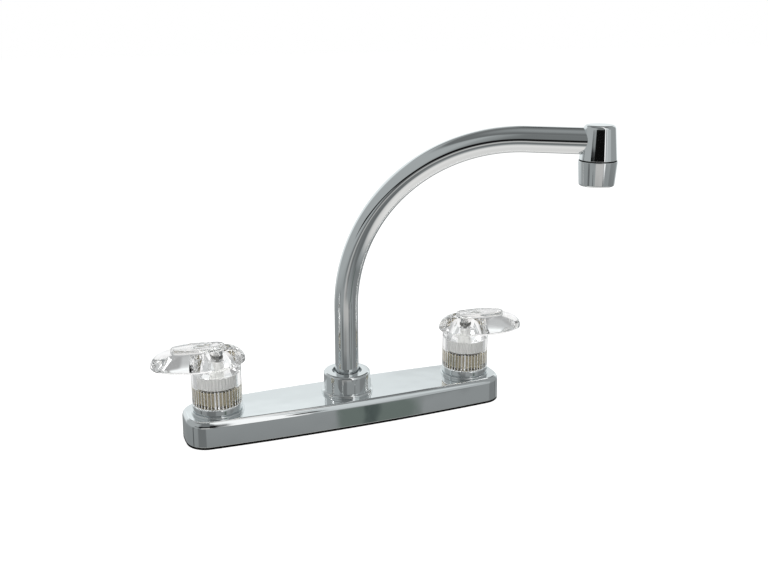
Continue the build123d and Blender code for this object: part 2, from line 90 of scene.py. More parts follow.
def deselect() -> None:
    """Leaves edit mode and selects nothing, so that an operator acts on one piece only."""
    if bpy.context.object is not None and bpy.context.object.mode != "OBJECT":
        bpy.ops.object.mode_set(mode="OBJECT")
    bpy.ops.object.select_all(action="DESELECT")


def pick(piece: Piece) -> None:
    """Makes one piece the only selected and active one.

    Args:
        piece: The piece.
    """
    deselect()
    piece.select_set(True)
    bpy.context.view_layer.objects.active = piece


@dataclass(frozen=True)
class Corner:
    """A corner of a turned piece's half section."""

    radius: float
    height: float
    round: float = 0.0


def rounded(corners: Sequence[Corner], closed: bool, steps: int = 5) -> list[tuple[float, float]]:
    """Works out a half section with its corners rounded.

    Args:
        corners: The section's corners, in order.
        closed: True where the last corner joins the first.
        steps: Runs that make up each rounded corner.

    Returns:
        Points as (radius, height).
    """
    points: list[tuple[float, float]] = []
    count = len(corners)
    for index, corner in enumerate(corners):
        here = Vector((corner.radius, corner.height))
        if corner.round == 0 or (not closed and index in (0, count - 1)):
            points.append(tuple(here))
            continue
        before = corners[index - 1]
        after = corners[(index + 1) % count]
        back = (Vector((before.radius, before.height)) - here).normalized()
        ahead = (Vector((after.radius, after.height)) - here).normalized()
        half = back.angle(ahead) / 2
        centre = here + (back + ahead).normalized() * (corner.round / sin(half))
        start = here + back * (corner.round / tan(half)) - centre
        end = here + ahead * (corner.round / tan(half)) - centre
        sweep = pi - 2 * half
        for step in range(steps + 1):
            share = step / steps
            arm = start * sin((1 - share) * sweep) + end * sin(share * sweep)
            points.append(tuple(centre + arm / sin(sweep)))
    return points


def section(*corners: tuple[float, ...]) -> tuple[Corner, ...]:
    """Corners of a half section, each from its radius, its height and any rounding."""
    return tuple(Corner(*corner) for corner in corners)


def polar(reach: float, angle: float, height: float) -> Vector:
    """A point at a height, by its reach and direction from the Z axis."""
    return Vector((reach * cos(angle), reach * sin(angle), height))


def directions(count: int) -> list[float]:
    """Directions spaced evenly round one turn, in radians."""
    return [2 * pi * index / count for index in range(count)]


def quarter(steps: int) -> list[tuple[float, float]]:
    """Sines and cosines of angles from nought to a quarter turn."""
    angles = [pi / 2 * step / steps for step in range(steps + 1)]
    return [(sin(angle), cos(angle)) for angle in angles]


def circle_ring(axis: Vector, radius: float, height: float, sides: int) -> Ring:
    """A level ring of points about an upright axis."""
    return [axis + polar(radius, angle, height) for angle in directions(sides)]


class Moulding:
    """A piece raised ring by ring from one circle, as a turner or a mould maker draws it."""

    def __init__(self, name: str, first: Ring) -> None:
        """Adds the circle and lays it on the first ring.

        Args:
            name: The piece's name.
            first: The first ring, in millimetres.
        """
        deselect()
        bpy.ops.mesh.primitive_circle_add(vertices=len(first), radius=MM, fill_type="NOTHING")
        self.piece = bpy.context.object
        self.piece.name = name
        self.piece.data.name = name
        self.sides = len(first)
        bpy.ops.object.mode_set(mode="EDIT")
        bpy.ops.mesh.select_all(action="SELECT")
        self.loop = list(range(len(first)))
        self._lay(first)

    def _points(self) -> bmesh.types.BMesh:
        """Numbers the points of the mesh in edit mode.

        Returns:
            The mesh in edit mode.
        """
        mesh = bmesh.from_edit_mesh(self.piece.data)
        mesh.verts.ensure_lookup_table()
        return mesh

    def _lay(self, ring: Ring) -> None:
        """Moves the points of the newest loop onto a ring.

        Args:
            ring: The ring, in millimetres.
        """
        mesh = self._points()
        for index, place in zip(self.loop, ring):
            mesh.verts[index].co = place * MM
        bmesh.update_edit_mesh(self.piece.data)

    def raise_to(self, ring: Ring) -> None:
        """Extrudes the newest loop and lays the new one on a ring.

        Args:
            ring: The ring, with as many points as the first one.
        """
        bpy.ops.mesh.extrude_edges_move()
        mesh = self._points()
        mesh.verts.index_update()
        old = set(self.loop)
        above = []
        for index in self.loop:
            ends = [
                edge.other_vert(mesh.verts[index]).index for edge in mesh.verts[index].link_edges
            ]
            above.append(next(i for i in ends if i not in old and mesh.verts[i].select))
        self.loop = above
        self._lay(ring)

    def cap_both(self) -> None:
        """Closes the newest loop and the first one with a face each."""
        bpy.ops.mesh.edge_face_add()
        bpy.ops.mesh.select_all(action="DESELECT")
        mesh = self._points()
        bpy.ops.mesh.select_mode(type="VERT")
        for index in range(self.sides):
            mesh.verts[index].select = True
        mesh.select_flush(True)
        bpy.ops.mesh.edge_face_add()

    def finish(self) -> Piece:
        """Merges doubled points, faces everything outwards and leaves edit mode.

        Returns:
            The finished mesh object.
        """
        bpy.ops.mesh.select_all(action="SELECT")
        bpy.ops.mesh.remove_doubles(threshold=MERGE)
        bpy.ops.mesh.normals_make_consistent(inside=False)
        bpy.ops.object.mode_set(mode="OBJECT")
        return self.piece


def moulded(name: str, rings: Sequence[Ring], closed: bool) -> Piece:
    """Makes a piece from a stack of rings.

    Args:
        name: The piece's name.
        rings: Rings with the same number of points, in order along the surface.
        closed: True to join the last ring to the first, False to cap both.

    Returns:
        The finished mesh object.
    """
    shell = Moulding(name, rings[0])
    for ring in rings[1:]:
        shell.raise_to(ring)
    if closed:
        shell.raise_to(rings[0])
    else:
        shell.cap_both()
    return shell.finish()


def turned(
    name: str,
    corners: Sequence[Corner],
    axis: Vector,
    sides: int = 96,
    closed: bool = True,
    steps: int = 5,
    shaded: bool = True,
) -> Piece:
    """Makes a turned piece from its half section.

    Args:
        name: The piece's name.
        corners: The half section's corners; an open one starts and ends near the axis.
        axis: The upright axis, in millimetres.
        sides: Faces round the axis.
        closed: True for a ring-shaped piece, False for a capped solid.
        steps: Runs in each rounded corner.
        shaded: True to shade the piece smooth.

    Returns:
        The finished mesh object.
    """
    points = rounded(corners, closed, steps)
    piece = moulded(
        name, [circle_ring(axis, radius, height, sides) for radius, height in points], closed
    )
    if shaded:
        smooth(piece)
    return piece


def smooth(piece: Piece, degrees: float = FLAT_ANGLE) -> None:
    """Shades a piece smooth, with hard edges past an angle and flats that stay flat.

    Args:
        piece: The piece.
        degrees: The sharpest edge that is shaded smooth.
    """
    pick(piece)
    bpy.ops.object.shade_smooth_by_angle(angle=radians(degrees))
    flats = piece.modifiers.new("flats", "WEIGHTED_NORMAL")
    flats.keep_sharp = True
    bpy.ops.object.modifier_apply(modifier=flats.name)


def carve(piece: Piece, cutter: Piece) -> None:
    """Cuts one mesh out of another and removes the cutter.

    Args:
        piece: The mesh that is cut.
        cutter: The mesh that cuts it.
    """
    pick(piece)
    cut = piece.modifiers.new("cut", "BOOLEAN")
    cut.operation = "DIFFERENCE"
    cut.solver = "EXACT"
    cut.object = cutter
    bpy.ops.object.modifier_apply(modifier=cut.name)
    bpy.data.objects.remove(cutter, do_unlink=True)


def axis_of(node: str) -> Vector:
    """Finds a node's upright axis, through the middle of its box.

    Args:
        node: The node's name.

    Returns:
        The axis's place in plan, in millimetres.
    """
    low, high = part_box(node)
    middle = (low + high) / 2 / MM
    return Vector((middle.x, middle.y, 0.0))


def levels_of(node: str) -> tuple[float, float]:
    """The lowest and the highest level of a node's box, in millimetres."""
    low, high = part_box(node)
    return low.z / MM, high.z / MM


# ---------------------------------------------------------------- finishes


def add_node(tree: Tree, kind: str, inputs: dict | None = None, **settings: object) -> Node:
    """Adds a node.

    Args:
        tree: The tree that gets it.
        kind: The node's type name.
        inputs: Values for its sockets, or the sockets to link to them.
        **settings: The node's own settings.

    Returns:
        The new node.
    """
    made = tree.nodes.new(kind)
    for key, value in settings.items():
        setattr(made, key, value)
    for key, value in (inputs or {}).items():
        if isinstance(value, Socket):
            tree.links.new(value, made.inputs[key])
        else:
            made.inputs[key].default_value = value
    return made


def grey(level: float) -> Colour:
    """A neutral colour."""
    return (level, level, level, 1.0)


def mixed(tree: Tree, share: object, first: object, second: object) -> Socket:
    """Mixes two colours, each given as a value or a socket."""
    inputs = {FACTOR: share, COLOUR_A: first, COLOUR_B: second}
    return add_node(tree, "ShaderNodeMix", inputs, data_type="RGBA").outputs[MIXED_COLOUR]


def either(tree: Tree, share: object, first: object, second: object) -> Socket:
    """Mixes two shaders, given as sockets."""
    return add_node(tree, "ShaderNodeMixShader", {0: share, 1: first, 2: second}).outputs["Shader"]


def computed(tree: Tree, operation: str, *values: object) -> Socket:
    """Works one sum on values or sockets."""
    inputs = dict(enumerate(values))
    return add_node(tree, "ShaderNodeMath", inputs, operation=operation).outputs["Value"]


class Effect(Enum):
    """The shared surface effects, by the name of their node group."""

    POLISH = "polish"
    GRAIN = "grain"


def start_group(kind: Effect, inputs: dict[str, float], output: str) -> tuple[Tree, Node, Socket]:
    """Starts an effect's node group.

    Args:
        kind: The effect.
        inputs: Its named inputs with their usual values.
        output: Its output beside the normal.

    Returns:
        The group's tree, its input node, and the place on the piece that its patterns follow.
    """
    tree = bpy.data.node_groups.new(kind.value, "ShaderNodeTree")
    face = tree.interface
    for name, value in inputs.items():
        face.new_socket(name, in_out="INPUT", socket_type="NodeSocketFloat").default_value = value
    face.new_socket(output, in_out="OUTPUT", socket_type="NodeSocketFloat")
    face.new_socket("Normal", in_out="OUTPUT", socket_type="NodeSocketVector")
    given = add_node(tree, "NodeGroupInput")
    return tree, given, add_node(tree, "ShaderNodeTexCoord").outputs["Object"]


def polish_group() -> Tree:
    """Builds the waviness and haze that polishing leaves under plating.

    Returns:
        The group's tree.
    """
    usual = {"Wave Scale": 60.0, "Wave Height": 0.1, "Haze Low": 0.02, "Haze High": 0.08}
    tree, given, spot = start_group(Effect.POLISH, usual, "Roughness")
    wave_inputs = {"Vector": spot, "Scale": given.outputs["Wave Scale"], "Detail": 1.0}
    waves = add_node(tree, "ShaderNodeTexNoise", wave_inputs)
    bump = add_node(
        tree,
        "ShaderNodeBump",
        {"Height": waves.outputs["Fac"], "Strength": given.outputs["Wave Height"], "Distance": MM},
    )
    haze_inputs = {"Vector": spot, "Scale": 220.0, "Detail": 4.0, "Roughness": 0.65}
    haze = add_node(tree, "ShaderNodeTexNoise", haze_inputs)
    spread = add_node(
        tree,
        "ShaderNodeMapRange",
        {
            "Value": haze.outputs["Fac"],
            "From Min": 0.35,
            "From Max": 0.75,
            "To Min": given.outputs["Haze Low"],
            "To Max": given.outputs["Haze High"],
        },
    )
    results = {"Roughness": spread.outputs["Result"], "Normal": bump.outputs["Normal"]}
    add_node(tree, "NodeGroupOutput", results)
    return tree


def grain_group() -> Tree:
    """Builds a fine mottled grain with tool lines round an upright axis.

    Returns:
        The group's tree.
    """
    usual = {"Scale": 400.0, "Line Pitch": 900.0, "Depth": 0.2}
    tree, given, spot = start_group(Effect.GRAIN, usual, "Mask")
    mottle_inputs = {"Vector": spot, "Scale": given.outputs["Scale"], "Detail": 3.0}
    mottle = add_node(tree, "ShaderNodeTexNoise", mottle_inputs)
    lines = add_node(
        tree,
        "ShaderNodeTexWave",
        {"Vector": spot, "Scale": given.outputs["Line Pitch"], "Distortion": 0.6, "Detail": 1.0},
        bands_direction="Z",
    )
    both = computed(tree, "MULTIPLY", mottle.outputs["Fac"], lines.outputs["Fac"])
    bump_inputs = {"Height": both, "Strength": given.outputs["Depth"], "Distance": 0.05 * MM}
    bump = add_node(tree, "ShaderNodeBump", bump_inputs)
    results = {"Mask": mottle.outputs["Fac"], "Normal": bump.outputs["Normal"]}
    add_node(tree, "NodeGroupOutput", results)
    return tree


def effect(tree: Tree, kind: Effect, **values: float) -> Node:
    """Places a shared effect in a material with its own values.

    Args:
        tree: The material's tree.
        kind: The effect.
        **values: Its inputs that differ from the usual, by name.

    Returns:
        The node that stands for the effect.
    """
    group = bpy.data.node_groups.get(kind.value)
    if group is None:
        group = {Effect.POLISH: polish_group, Effect.GRAIN: grain_group}[kind]()
    made = add_node(tree, "ShaderNodeGroup", node_tree=group)
    for key, value in values.items():
        made.inputs[key.replace("_", " ").title()].default_value = value
    return made


def new_material(name: str) -> bpy.types.Material:
    """Starts a material with an empty node tree.

    Args:
        name: Its name.

    Returns:
        The new material.
    """
    made = bpy.data.materials.new(name)
    made.use_nodes = True
    made.node_tree.nodes.clear()
    return made


def principled(tree: Tree, inputs: dict[str, object]) -> Socket:
    """A material's main shader, from the values or sockets for its inputs."""
    return add_node(tree, "ShaderNodeBsdfPrincipled", inputs).outputs["BSDF"]


@dataclass(frozen=True)
class Plating:
    """Bright plating over polished metal."""

    name: str = "chrome"
    colour: Colour = (0.80, 0.82, 0.825, 1.0)
    wave_scale: float = 45.0
    wave_height: float = 0.12
    haze_low: float = 0.02
    haze_high: float = 0.07

    def material(self) -> bpy.types.Material:
        """Builds the plating's material.

        Returns:
            The new material.
        """
        made = new_material(self.name)
        tree = made.node_tree
        shine = effect(
            tree,
            Effect.POLISH,
            wave_scale=self.wave_scale,
            wave_height=self.wave_height,
            haze_low=self.haze_low,
            haze_high=self.haze_high,
        )
        shader = principled(
            tree,
            {
                "Base Color": self.colour,
                "Metallic": 1.0,
                "Roughness": shine.outputs["Roughness"],
                "Normal": shine.outputs["Normal"],
            },
        )
        add_node(tree, "ShaderNodeOutputMaterial", {"Surface": shader})
        return made


@dataclass(frozen=True)
class Clear:
    """Clear moulded plastic that lets the lamps through to what it covers."""

    name: str = "clear_acrylic"
    colour: Colour = (1.0, 1.0, 1.0, 1.0)
    roughness: float = 0.0
    ior: float = 1.49
    wave_scale: float = 90.0
    wave_height: float = 0.04

    def material(self) -> bpy.types.Material:
        """Builds the plastic's material.

        Returns:
            The new material.
        """
        made = new_material(self.name)
        tree = made.node_tree
        flow = effect(tree, Effect.POLISH, wave_scale=self.wave_scale, wave_height=self.wave_height)
        shader = principled(
            tree,
            {
                "Base Color": self.colour,
                "Roughness": self.roughness,
                "IOR": self.ior,
                "Transmission Weight": 1.0,
                "Normal": flow.outputs["Normal"],
            },
        )
        through = add_node(tree, "ShaderNodeBsdfTransparent", {"Color": self.colour})
        path = add_node(tree, "ShaderNodeLightPath")
        both = either(tree, path.outputs["Is Shadow Ray"], shader, through.outputs["BSDF"])
        add_node(tree, "ShaderNodeOutputMaterial", {"Surface": both})
        return made


@dataclass(frozen=True)
class Solid:
    """A plain metal, plastic, rubber or ceramic with grain and a second shade."""

    name: str
    colour: Colour
    shade: Colour
    metallic: float = 0.0
    roughness: float = 0.4
    depth: float = 0.2
    gloss: float = 0.5

    def material(self) -> bpy.types.Material:
        """Builds the finish's material.

        Returns:
            The new material.
        """
        made = new_material(self.name)
        tree = made.node_tree
        grain = effect(tree, Effect.GRAIN, depth=self.depth)
        shader = principled(
            tree,
            {
                "Base Color": mixed(tree, grain.outputs["Mask"], self.colour, self.shade),
                "Metallic": self.metallic,
                "Roughness": self.roughness,
                "Specular IOR Level": self.gloss,
                "Normal": grain.outputs["Normal"],
            },
        )
        add_node(tree, "ShaderNodeOutputMaterial", {"Surface": shader})
        return made


def opaque(red: float, green: float, blue: float) -> Colour:
    """A colour from its three parts."""
    return (red, green, blue, 1.0)


FINISHES = {
    finish.name: finish
    for finish in (
        Plating(),
        Clear(),
        Solid("raw_brass", opaque(0.50, 0.44, 0.30), opaque(0.43, 0.38, 0.27), 1.0, 0.30),
        Solid("copper_tube", opaque(0.72, 0.36, 0.22), opaque(0.60, 0.29, 0.18), 1.0, 0.30),
        Solid("black_rubber", grey(0.004), grey(0.008), roughness=0.95, depth=0.5, gloss=0.05),
        Solid("pale_plastic", opaque(0.86, 0.86, 0.84), opaque(0.80, 0.80, 0.78), roughness=0.35),
        Solid("white_nylon", opaque(0.78, 0.78, 0.76), opaque(0.72, 0.72, 0.70), roughness=0.45),
        Solid("grey_ceramic", grey(0.62), grey(0.55), roughness=0.18),
        Solid("spring_steel", grey(0.55), grey(0.48), 1.0, 0.30),
    )
}


# ---------------------------------------------------------------- studio


def cool(level: float) -> Colour:
    """A grey with a little blue and green in it."""
    return (level * 0.95, level * 1.0, level * 1.01, 1.0)


def warm(level: float) -> Colour:
    """A grey with a little red in it."""
    return (level * 1.01, level * 0.99, level * 0.97, 1.0)


@dataclass(frozen=True)
class Board:
    """A lit wall, a reflector or a dark flag of the room, as bright metal shows it."""

    name: str
    azimuth: float  # its middle, in degrees to the right of the camera
    half_width: float
    low: float  # degrees above the horizon
    high: float
    colour: Colour
    blur: float = 2.0


BOARDS = (
    Board("left_wall", -88.0, 52.0, -12.0, 50.0, cool(0.45), blur=6.0),
    Board("backdrop", 184.0, 50.0, -12.0, 29.0, cool(0.93), blur=9.0),
    Board("backdrop_foot", 169.0, 11.0, 11.0, 21.2, cool(0.62), blur=2.0),
    Board("backdrop_top", 186.0, 34.0, 23.8, 28.0, cool(1.08), blur=1.4),
    Board("soffit", 160.0, 17.0, 28.5, 50.0, cool(0.09), blur=2.5),
    Board("right_wall", 88.0, 30.0, -12.0, 58.0, cool(0.35), blur=6.0),
    Board("front_wall", 2.0, 27.0, 6.0, 50.0, cool(0.20), blur=5.0),
    Board("front_low", -20.0, 21.0, -31.0, -12.0, cool(0.185), blur=4.0),
    Board("front_edge", -23.0, 8.0, -16.0, 11.0, cool(0.12), blur=2.5),
    Board("near_table", 14.0, 22.0, -39.5, -29.0, cool(0.17), blur=3.0),
    Board("right_low", 88.0, 20.0, -32.0, -13.0, cool(0.235), blur=4.0),
    Board("table_left", -39.0, 20.0, -19.5, -15.2, cool(0.36), blur=2.0),
    Board("table_line", -65.0, 5.5, -20.5, -15.0, cool(0.15), blur=2.0),
    Board("table_edge", 1.0, 24.0, -19.5, -10.5, warm(0.57), blur=2.5),
    Board("table_mark", 29.0, 4.0, -20.5, -14.5, cool(0.17), blur=1.5),
    Board("bright_wall", 46.0, 10.0, -12.0, 58.0, cool(0.72), blur=2.5),
    Board("bright_pane", 44.0, 17.0, -6.0, 2.5, cool(0.62), blur=2.5),
    Board("bright_side", 58.0, 12.0, -13.0, 9.0, cool(0.52), blur=4.0),
    Board("bright_head", 38.0, 9.0, 46.0, 68.0, grey(0.98), blur=3.0),
    Board("ceiling_lamp", 50.0, 12.0, 66.0, 75.0, grey(0.95), blur=3.0),
    Board("reflector", 30.5, 4.0, -17.0, 62.0, grey(1.15), blur=1.5),
    Board("ceiling_strip", 100.0, 58.0, 73.0, 83.0, warm(0.80), blur=3.0),
    Board("pane_bar", 34.8, 1.3, -1.0, 14.0, grey(0.06), blur=1.2),
    Board("dark_flag", -5.0, 29.0, -6.5, 7.0, grey(0.004), blur=2.0),
    Board("flag_arm", -35.0, 22.0, -2.6, 3.0, grey(0.004), blur=1.0),
    Board("flag_post", 23.5, 2.4, -15.0, 14.0, grey(0.006), blur=1.0),
    Board("left_leg", -71.0, 2.2, -32.0, -17.8, cool(0.08), blur=1.6),
    Board("left_inner_leg", -38.0, 2.4, -20.3, -17.8, cool(0.07), blur=1.2),
    Board("right_leg", 52.0, 2.6, -20.3, -18.0, cool(0.12), blur=1.2),
    Board("right_shade", 44.3, 4.7, -32.0, -20.7, opaque(0.155, 0.185, 0.17), blur=0.8),
    Board("right_line", 43.4, 0.7, -32.0, -20.7, opaque(0.08, 0.10, 0.095), blur=0.6),
    Board("far_leg", 114.0, 2.6, -32.0, -13.0, cool(0.10), blur=1.8),
)

# what shows white through the clear handles
BACKGROUND = Board("background", 180.0, 34.0, -48.0, 24.0, grey(1.0), blur=10.0)


@dataclass
class Studio:
    """The camera, the lamps, the floor and what the room looks like in the chrome."""

    lens: float = 43.79
    sensor: float = 36.0
    camera_place: tuple[float, float, float] = (-225.7, -636.9, 304.1)
    heading: float = 21.943  # degrees clockwise from +Y
    pitch: float = 16.564  # degrees below the horizon
    floor_size: float = 12000.0
    diffuse_level: float = 0.55
    clear_haze: float = 0.30
    floor_shade: float = 0.62
    floor_glow: float = 0.68
    floor_bounce: float = 0.75
    far_bounces: int = 32  # enough for light to find its way out of thick clear plastic
    glossy_bounces: int = 16
    aim: tuple[float, float, float] = (0.0, 0.0, 80.0)
    lamps: tuple[tuple[str, tuple[float, float, float], float, float], ...] = (
        ("key", (-700.0, -500.0, 1250.0), 900.0, 7.0),
        ("fill", (800.0, 200.0, 900.0), 700.0, 3.0),
    )  # each lamp's name, place, size and power
    walls: tuple[tuple[float, Colour], ...] = (
        (-90.0, warm(0.78)),
        (-56.0, warm(0.88)),
        (-46.0, warm(0.74)),
        (-38.0, cool(0.36)),
        (-32.0, cool(0.21)),
        (-27.0, cool(0.25)),
        (-22.0, cool(0.32)),
        (46.0, cool(0.33)),
        (53.0, cool(0.17)),
        (65.0, cool(0.19)),
        (75.0, cool(0.28)),
        (90.0, cool(0.33)),
    )

    def build(self) -> None:
        """Makes the whole studio."""
        paths = bpy.context.scene.cycles
        paths.max_bounces = self.far_bounces
        paths.glossy_bounces = self.glossy_bounces
        paths.transmission_bounces = self.far_bounces
        self.camera()
        self.world()
        self.floor()
        for lamp in self.lamps:
            self.lamp(*lamp)
        bpy.context.scene.view_settings.view_transform = "Standard"

    def camera(self) -> None:
        """Sets the photograph's viewpoint."""
        data = bpy.data.cameras.new("camera")
        data.lens = self.lens
        data.sensor_width = self.sensor
        data.clip_start = 0.01
        eye = bpy.data.objects.new("camera", data)
        eye.location = Vector(self.camera_place) * MM
        eye.rotation_euler = (radians(90 - self.pitch), 0.0, -radians(self.heading))
        bpy.context.scene.collection.objects.link(eye)
        bpy.context.scene.camera = eye

    def lamp(self, name: str, place: tuple[float, float, float], size: float, power: float) -> None:
        """Hangs a soft square lamp that points at the faucet's middle.

        Args:
            name: The lamp's name.
            place: Where it hangs, in millimetres.
            size: The length of its sides, in millimetres.
            power: Its power in watts.
        """
        data = bpy.data.lights.new(name, "AREA")
        data.size = size * MM
        data.energy = power
        lamp = bpy.data.objects.new(name, data)
        lamp.location = Vector(place) * MM
        aim = Vector(self.aim) * MM - lamp.location
        lamp.rotation_euler = aim.to_track_quat("-Z", "Y").to_euler()
        lamp.visible_glossy = False
        lamp.visible_camera = False
        bpy.context.scene.collection.objects.link(lamp)

    def floor(self) -> None:
        """Lays the pale floor, white to the eye but for the faucet's soft shadow."""
        deselect()
        bpy.ops.mesh.primitive_plane_add(size=self.floor_size * MM)
        floor = bpy.context.object
        floor.name = "floor"
        floor.visible_glossy = False
        floor.visible_transmission = False
        made = new_material("floor")
        tree = made.node_tree
        cloth = add_node(tree, "ShaderNodeBsdfDiffuse", {"Color": grey(self.floor_shade)})
        glow = add_node(
            tree, "ShaderNodeEmission", {"Color": grey(1.0), "Strength": self.floor_glow}
        )
        lit = {0: cloth.outputs["BSDF"], 1: glow.outputs["Emission"]}
        white = add_node(tree, "ShaderNodeAddShader", lit)
        plain = add_node(tree, "ShaderNodeBsdfDiffuse", {"Color": grey(self.floor_bounce)})
        path = add_node(tree, "ShaderNodeLightPath")
        top = either(
            tree, path.outputs["Is Camera Ray"], plain.outputs["BSDF"], white.outputs["Shader"]
        )
        below = add_node(tree, "ShaderNodeBsdfTransparent")
        side = add_node(tree, "ShaderNodeNewGeometry")
        both = either(tree, side.outputs["Backfacing"], top, below.outputs["BSDF"])
        add_node(tree, "ShaderNodeOutputMaterial", {"Surface": both})
        floor.data.materials.append(made)

    def world(self) -> None:
        """Sets the white background, the soft light and the room that bright metal shows."""
        world = bpy.data.worlds.new("studio")
        bpy.context.scene.world = world
        world.use_nodes = True
        tree = world.node_tree
        tree.nodes.clear()
        path = add_node(tree, "ShaderNodeLightPath")
        room, clear = self.room(tree)
        soft = {"Color": grey(1.0), "Strength": self.diffuse_level}
        shown = add_node(tree, "ShaderNodeBackground", soft).outputs["Background"]
        seen = (
            ("Is Glossy Ray", room),
            ("Is Transmission Ray", clear),
            ("Is Camera Ray", grey(1.0)),
        )
        for ray, colour in seen:
            lit = add_node(tree, "ShaderNodeBackground", {"Color": colour, "Strength": 1.0})
            shown = either(tree, path.outputs[ray], shown, lit.outputs["Background"])
        add_node(tree, "ShaderNodeOutputWorld", {"Surface": shown})

    def room(self, tree: Tree) -> tuple[Socket, Socket]:
        """Colours the room by direction: a pale table, grey walls and the boards before them.

        Args:
            tree: The world's tree.

        Returns:
            The room as bright metal shows it, and the paler one that shows through clear plastic.
        """
        place = add_node(tree, "ShaderNodeTexCoord").outputs["Generated"]
        height = add_node(tree, "ShaderNodeSeparateXYZ", {"Vector": place}).outputs["Z"]
        level = add_node(
            tree, "ShaderNodeMapRange", {"Value": height, "From Min": -1.0, "From Max": 1.0}
        )
        flat = add_node(
            tree, "ShaderNodeVectorMath", {0: place, 1: (1.0, 1.0, 0.0)}, operation="MULTIPLY"
        )
        unit = add_node(
            tree, "ShaderNodeVectorMath", {0: flat.outputs["Vector"]}, operation="NORMALIZE"
        )
        ahead = unit.outputs["Vector"]
        shown = self.ramp(tree, level.outputs["Result"], self.walls)
        for board in BOARDS:
            shown = self.hang(tree, board, shown, ahead, height)
        pale = mixed(tree, self.clear_haze, shown, grey(1.0))
        return shown, self.hang(tree, BACKGROUND, pale, ahead, height)

    def hang(
        self, tree: Tree, board: Board, behind: Socket, ahead: Socket, height: Socket
    ) -> Socket:
        """Hangs one board before the rest of the room.

        Args:
            tree: The world's tree.
            board: The board.
            behind: The room's colour without it.
            ahead: The level part of the direction, of unit length.
            height: The sine of the direction's elevation.

        Returns:
            The room's colour with the board in it.
        """
        turn = radians(180.0 + self.heading - board.azimuth)
        facing = (sin(turn), cos(turn), 0.0)
        along = add_node(
            tree, "ShaderNodeVectorMath", {0: ahead, 1: facing}, operation="DOT_PRODUCT"
        )

        def edge(value: Socket, start: float, end: float) -> Socket:
            """Makes a soft step from nought to one.

            Args:
                value: What is stepped.
                start: Where the step starts.
                end: Where it ends.

            Returns:
                The step's socket.
            """
            made = add_node(
                tree,
                "ShaderNodeMapRange",
                {"Value": value, "From Min": start, "From Max": end},
                interpolation_type="SMOOTHSTEP",
            )
            return made.outputs["Result"]

        def sine(degrees: float) -> float:
            """The sine of an elevation in degrees."""
            return sin(radians(degrees))

        blur = board.blur
        width = edge(
            along.outputs["Value"],
            cos(radians(board.half_width + blur)),
            cos(radians(max(0.0, board.half_width - blur))),
        )
        low = edge(height, sine(board.low - blur), sine(board.low + blur))
        high = edge(height, sine(board.high + blur), sine(board.high - blur))
        mask = computed(tree, "MULTIPLY", width, computed(tree, "MULTIPLY", low, high))
        return mixed(tree, mask, behind, board.colour)

    @staticmethod
    def ramp(tree: Tree, level: Socket, stops: Sequence[tuple[float, Colour]]) -> Socket:
        """Grades a colour by elevation.

        Args:
            tree: The world's tree.
            level: The direction's height, from nought straight down to one straight up.
            stops: Elevations in degrees with their colours, from the lowest.

        Returns:
            The colour's socket.
        """
        made = add_node(tree, "ShaderNodeValToRGB", {"Fac": level})
        bar = made.color_ramp
        while len(bar.elements) < len(stops):
            bar.elements.new(0.5)
        for element, (degrees, shade) in zip(bar.elements, stops):
            element.position = (sin(radians(degrees)) + 1) / 2
            element.color = shade
        return made.outputs["Color"]


# ---------------------------------------------------------------- outlines


@dataclass(frozen=True)
class Arc:
    """A round stretch of an outline."""

    centre: Vector
    radius: float
    start: float  # radians
    end: float
    steps: int


@dataclass(frozen=True)
class Outline:
    """A closed outline of arcs that can be drawn smaller by any inset."""

    arcs: tuple[Arc, ...]

    def ring(self, inset: float, height: float) -> Ring:
        """Draws a level ring inside the outline.

        Args:
            inset: How far inside it lies.
            height: Its level.

        Returns:
            The ring's points, in millimetres.
        """
        points = []
        for arc in self.arcs:
            for step in range(arc.steps):
                angle = arc.start + (arc.end - arc.start) * step / arc.steps
                points.append(arc.centre.to_3d() + polar(arc.radius - inset, angle, height))
        return points


def meeting(first: Vector, first_radius: float, second: Vector, second_radius: float) -> Vector:
    """Finds the upper point where two circles meet.

    Args:
        first: The first circle's centre.
        first_radius: Its radius.
        second: The second circle's centre.
        second_radius: Its radius.

    Returns:
        The point.
    """
    between = second - first
    distance = between.length
    along = (first_radius**2 - second_radius**2 + distance**2) / (2 * distance)
    across = sqrt(first_radius**2 - along**2)
    unit = between / distance
    sideways = Vector((-unit.y, unit.x)) * across
    candidates = (first + unit * along + sideways, first + unit * along - sideways)
    return max(candidates, key=lambda point: point.y)


@dataclass(frozen=True)
class DeckPlan:
    """The plan of the deck: bowed long sides, gently bowed ends and round corners."""

    half_length: float = 127.2
    end_bow: float = 1.5
    half_end: float = 21.2
    half_middle: float = 25.6
    corner: float = 16.0

    def outline(self) -> Outline:
        """Works out the arcs, anticlockwise from the right end's lower corner.

        Returns:
            The deck's outline.
        """
        chord = self.half_length - self.end_bow
        sag = self.half_middle - self.half_end
        side_radius = (chord**2 + sag**2) / (2 * sag)
        end_radius = (self.half_end**2 + self.end_bow**2) / (2 * self.end_bow)
        side = Vector((0.0, self.half_middle - side_radius))
        end = Vector((self.half_length - end_radius, 0.0))
        corner = meeting(side, side_radius - self.corner, end, end_radius - self.corner)
        end_angle = atan2(corner.y - end.y, corner.x - end.x)
        side_angle = atan2(corner.y - side.y, corner.x - side.x)
        arcs = []
        for flip in (0.0, pi):
            mirror = cos(flip)
            near = Vector((corner.x, corner.y)) * mirror
            far = Vector((-corner.x, corner.y)) * mirror
            arcs += [
                Arc(end * mirror, end_radius, flip - end_angle, flip + end_angle, 24),
                Arc(near, self.corner, flip + end_angle, flip + side_angle, 16),
                Arc(side * mirror, side_radius, flip + side_angle, flip + pi - side_angle, 64),
                Arc(far, self.corner, flip + pi - side_angle, flip + pi - end_angle, 16),
            ]
        return Outline(tuple(arcs))


